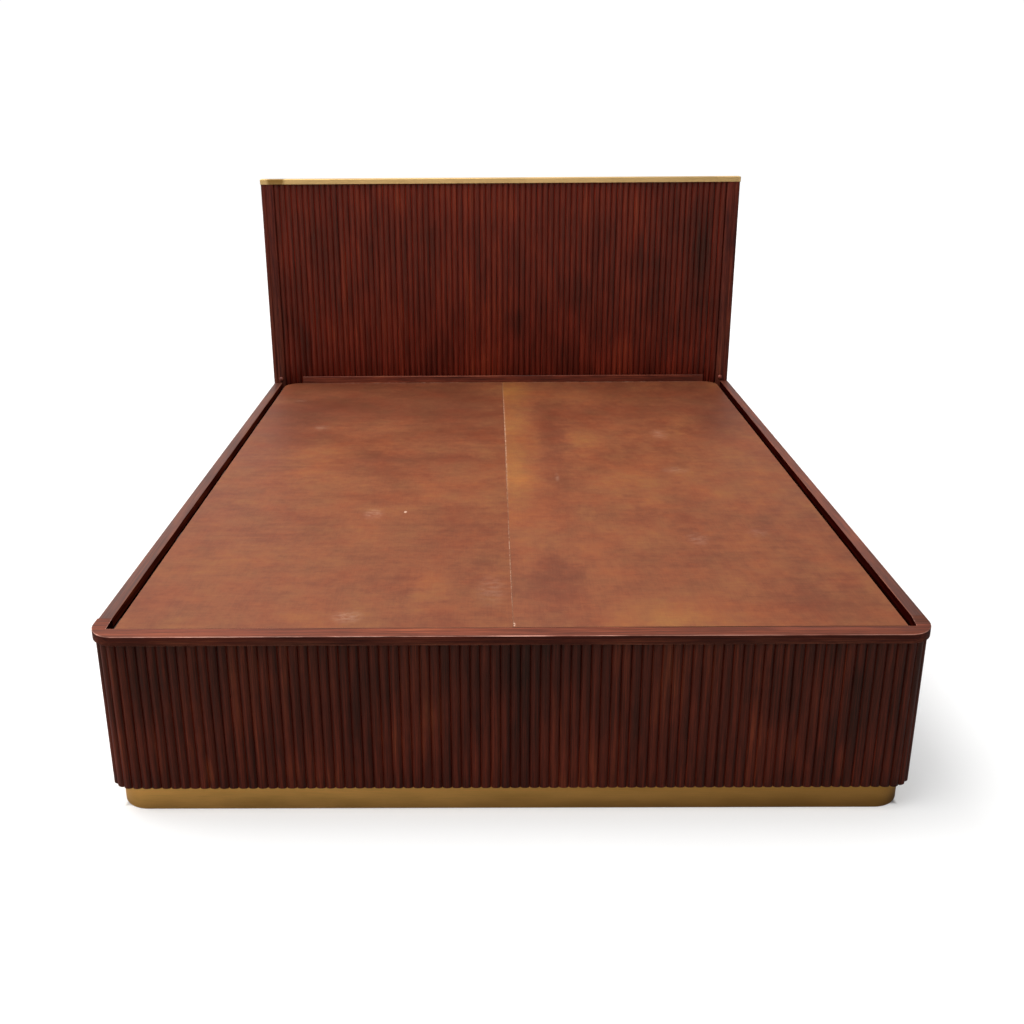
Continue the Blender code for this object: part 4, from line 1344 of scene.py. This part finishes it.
def brass_finish(name, base, dark_low, dark_high, spread, stains, along=0):
    """Brushed brass with tarnish below one height, fading out at another, and darker marks in x and z."""
    material, tree, shader, place = new_finish(name)
    brushing = noise(tree, place, 1400.0, 3.0, 0.6, drawn_out(along, 0.012))
    smudges = noise(tree, place, 9.0, 5.0, 0.6, (0.6, 1.0, 2.0))
    # The line where the tarnish ends wanders with the smudges.
    height = along_axis(tree, place, "Z")
    creep = plus(tree, height, times(tree, minus(tree, smudges, 0.5), spread))
    tarnish = reach(tree, creep, dark_low, dark_high, 0.55, 0.0)
    # Marks in x and z: tarnish on the cap, and painted shade towards the plinth's right end.
    tarnish = plus(tree, tarnish, marks(tree, place, (0, 2), stains))
    colour = ramp(tree, smudges, (0.30, tinted(base, DULLED)), (0.55, base), (0.75, tinted(base, BRIGHT)))
    colour = shaded(tree, colour, reach(tree, brushing, 0.3, 0.7, 0.90, 1.06))
    colour = lay(tree, tarnish, colour, tinted(base, TARNISHED))
    colour = lay(tree, times(tree, stored(tree, "edge_wear_and_highlight"), 0.35), colour, POLISHED_EDGE)
    rough = plus(tree, reach(tree, smudges, 0.3, 0.7, 0.40, 0.52), times(tree, brushing, 0.06))
    bump = bump_of(tree, brushing, 0.12, 0.0002)
    join_shader(tree, shader, Base_Color=colour, Roughness=rough, Normal=bump)
    set_shader(shader, Metallic=1.0)
    return material


PLINTH_BRASS = (0.95, 0.52, 0.142)
CAP_BRASS = (0.71, 0.475, 0.20)
# The plinth's mark darkens it towards its right end: painted shade, away from the light on the left.
PLINTH_PAINTED_SHADE = ((1.30, 0.03, 1.90, 0.50, 0.45),)
cap_low, cap_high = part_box("headboard_brass_cap")
CAP_STAINS = ((cap_low.x + 0.062, cap_high.z, 0.044, 0.06, 1.5), (cap_low.x, cap_high.z, 1.4, 0.3, 0.16))
plinth_brass, plinth_brass_side = [
    brass_finish(name, PLINTH_BRASS, -0.01, 0.050, 0.03, PLINTH_PAINTED_SHADE, along)
    for along, name in enumerate(("plinth_brass", "plinth_brass_side"))
]
cap_brass = brass_finish("cap_brass", CAP_BRASS, cap_low.z - 0.02, cap_low.z + 0.004, 0.02, CAP_STAINS)
print("brass for the plinth and the cap")

# %% Bend the brass strips
STRIP_RUB = 0.0004
STRIP_STEPS = 24

strip_low, strip_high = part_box("foot_plinth_brass")
right_strip_low, right_strip_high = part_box("right_plinth_brass")
strip_thickness = right_strip_high.x - right_strip_low.x
bend_y = right_strip_low.y - GAP
strip_radius = bend_y - strip_low.y
bend_x = strip_high.x - strip_radius
bend = arc((bend_x, bend_y), strip_radius, -90, 0, STRIP_STEPS)
inner_bend = arc((bend_x, bend_y), strip_radius - strip_thickness, 0, -90, STRIP_STEPS)
half_strip = bend + inner_bend
strip_outline = half_strip + [(-x, y) for x, y in reversed(half_strip)]
strip_rubs = (STRIP_RUB, STRIP_RUB)
add_board("foot_brass_strip", strip_outline, "foot_plinth_brass", [plinth_brass], "brass_trim", *strip_rubs)
for word in ("left", "right"):
    node = f"{word}_plinth_brass"
    outline = rounded_box(*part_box(node), SQUARE)
    add_board(f"{word}_brass_strip", outline, node, [plinth_brass_side], "brass_trim", *strip_rubs)
print("plinth strip bent to", round(strip_radius, 4), "m")

# %% Fold the cap
# The cap is three lengths of folded sheet, with a hairline joint above each stile's inner edge.
CAP_RUB = 0.0016
CAP_UNDER_RUB = 0.0006
CAP_END_PIECE = 0.094
CAP_JOINT = 0.0005

joints = (cap_low.x, cap_low.x + CAP_END_PIECE, cap_high.x - CAP_END_PIECE, cap_high.x)
cap_lengths = []
for i in range(3):
    near = joints[i] + (CAP_JOINT / 2 if i else 0.0)
    far = joints[i + 1] - (CAP_JOINT / 2 if i < 2 else 0.0)
    ends = (CAP_RUB if i == 0 else 0.0, CAP_RUB if i == 2 else 0.0)
    corners = (ends[0], ends[1], ends[1], ends[0])
    outline = rounded_box((near, cap_low.y), (far, cap_high.y), corners)
    cap_lengths.append(eased_board("cap_length", outline, cap_low.z, cap_high.z, CAP_RUB, CAP_UNDER_RUB))
cap_mesh = joined("headboard_cap_folded", cap_lengths)
add_piece("headboard_cap_folded", cap_mesh, [cap_brass], ["headboard_brass_cap"])
print("cap lengths", [round(b - a, 3) for a, b in zip(joints, joints[1:])])

# %% [markdown]
# ## The carcass
#
# Under the deck are sawn timbers: ledgers along the sides, cross bearers, a centre beam on three legs, and
# panels behind the flutes. Nobody sees them until a board is lifted, so they are plain wood, planed with the
# sharp edges taken off. The bearers, ledgers, beam and legs are cut again with eased edges. The panels,
# posts and plinth boards keep their solids and only get the wood finish. The side panels, the ledgers and
# the ends of the bearers are painted near black, as painted shade that keeps the finger slots dark.

# %% Mix the plain timber
TIMBER_STEPS = (
    (0.32, (0.075, 0.034, 0.016)),
    (0.50, (0.150, 0.070, 0.032)),
    (0.68, (0.235, 0.125, 0.060)),
)
TIMBER_EDGE = (0.30, 0.19, 0.11)
# Near black at the bearer ends under the finger slots: painted shade.
PAINTED_SHADE_END = (0.010, 0.0016, 0.0008)


def timber_finish(name, along, tint=(1.0, 1.0, 1.0), ends_in_painted_shade=False, shine=0.3):
    """Bare hardwood with long grain and darker pores. Ends in painted shade are near black under the finger
    slots.
    """
    material, tree, shader, place = new_finish(name)
    drawn = drawn_out(along, 0.05)
    figure = noise(tree, place, 26.0, 5.0, 0.6, drawn)
    grain = noise(tree, place, 160.0, 5.0, 0.65, drawn)
    pores = noise(tree, place, 1000.0, 2.0, 0.5, drawn)
    depth = blend(tree, (figure, 0.6), (grain, 0.4))
    colour = ramp(tree, depth, *[(spot, tinted(shade, tint)) for spot, shade in TIMBER_STEPS])
    speck = reach(tree, pores, 0.34, 0.44, 0.6, 1.0)
    colour = shaded(tree, colour, speck)
    edge_share = times(tree, stored(tree, "edge_wear_and_highlight"), 0.35)
    colour = lay(tree, edge_share, colour, tinted(TIMBER_EDGE, tint))
    # The bearer ends under the finger slots are painted near black, as painted shade.
    if ends_in_painted_shade:
        across = along_axis(tree, place, "X")
        out = add_node(tree, "ShaderNodeMath", {0: across}, operation="ABSOLUTE").outputs[0]
        colour = lay(tree, reach(tree, out, 0.78, 0.88, 0.0, 0.96), colour, PAINTED_SHADE_END)
    rough = reach(tree, grain, 0.3, 0.7, 0.62, 0.8)
    bump = bump_of(tree, plus(tree, grain, times(tree, speck, 0.4)), 0.4, 0.0006)
    join_shader(tree, shader, Base_Color=colour, Roughness=rough, Normal=bump)
    set_shader(shader, Specular_IOR_Level=shine)
    return material


timber_across = timber_finish("timber_across", 0)
bearer_timber = timber_finish("bearer_timber", 0, ends_in_painted_shade=True)
timber_along = timber_finish("timber_along", 1)
timber_upright = timber_finish("timber_upright", 2, (0.95, 0.92, 0.9))
# Side panels and ledgers are painted near black, as painted shade that keeps the finger slots dark.
dark_inside_painted_shade = timber_finish("dark_inside_painted_shade", 1, (0.05, 0.02, 0.02), shine=0.0)
print("plain timber in four cuts, and one with stain on it")

# %% Ease the timbers that carry the deck
TIMBER_RUB = 0.0025

timbers = [(f"cross_bearer_{i}", bearer_timber) for i in range(1, 6)]
timbers += [("left_ledger", dark_inside_painted_shade), ("right_ledger", dark_inside_painted_shade), ("centre_beam", timber_along)]
timbers += [(f"centre_leg_{i}", timber_upright) for i in range(1, 4)]
for node, finish in timbers:
    low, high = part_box(node)
    outline = rounded_box(low, high, (TIMBER_RUB,) * 4, SMALL_CORNER_STEPS)
    add_board(f"{node}_eased", outline, node, [finish], "carcass_wood", TIMBER_RUB, TIMBER_RUB)
print(len(timbers), "timbers eased")

# %% Finish the panels, posts and plinth boards
panel_finishes = {
    "foot_panel": timber_across,
    "left_side_panel": dark_inside_painted_shade,
    "right_side_panel": dark_inside_painted_shade,
    "headboard_panel": timber_upright,
    "foot_corner_post_left": timber_upright,
    "foot_corner_post_right": timber_upright,
    "foot_plinth_board": timber_across,
    "left_plinth_board": timber_along,
    "right_plinth_board": timber_along,
    "plinth_corner_block_left": timber_upright,
    "plinth_corner_block_right": timber_upright,
}
for node, finish in panel_finishes.items():
    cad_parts[node].data.materials[0] = finish
print(len(panel_finishes), "panels and posts finished")

# %% [markdown]
# ## The steel and the rubber
#
# The brackets, hangers and bolts are zinc-plated steel, with the faint crystal spangle that plating leaves.
# A cell pattern gives the spangle a slightly different shade and roughness in each cell. The pads under the
# centre legs are black rubber with a fine moulded grain and some dust.

# %% Plate the steel and mould the rubber
steel, steel_tree, steel_shader, steel_place = new_finish("zinc_plate")
cells = add_node(steel_tree, "ShaderNodeTexVoronoi", {"Vector": steel_place, "Scale": 260.0})
shade = add_node(steel_tree, "ShaderNodeSeparateColor", {0: cells.outputs["Color"]}).outputs[0]
smear = noise(steel_tree, steel_place, 30.0, 4.0)
steel_colour = ramp(steel_tree, shade, (0.0, (0.40, 0.41, 0.43)), (1.0, (0.62, 0.63, 0.64)))
plated = reach(steel_tree, shade, 0.0, 1.0, 0.28, 0.42)
steel_rough = plus(steel_tree, plated, times(steel_tree, smear, 0.12))
join_shader(steel_tree, steel_shader, Base_Color=steel_colour, Roughness=steel_rough)
set_shader(steel_shader, Metallic=1.0)

rubber, rubber_tree, rubber_shader, rubber_place = new_finish("black_rubber")
pebble = noise(rubber_tree, rubber_place, 900.0, 3.0)
dust = noise(rubber_tree, rubber_place, 60.0, 5.0)
rubber_colour = ramp(rubber_tree, dust, (0.4, (0.012, 0.012, 0.012)), (0.75, (0.055, 0.050, 0.046)))
rubber_bump = bump_of(rubber_tree, pebble, 0.4, 0.0003)
join_shader(rubber_tree, rubber_shader, Base_Color=rubber_colour, Normal=rubber_bump)
set_shader(rubber_shader, Roughness=0.85)

steel_words = ("hanger", "bracket", "bolt")
finished = 0
for node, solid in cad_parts.items():
    if any(word in node for word in steel_words):
        solid.data.materials[0] = steel
        finished += 1
    if "pad" in node:
        solid.data.materials[0] = rubber
        finished += 1
print(finished, "steel and rubber pieces finished")
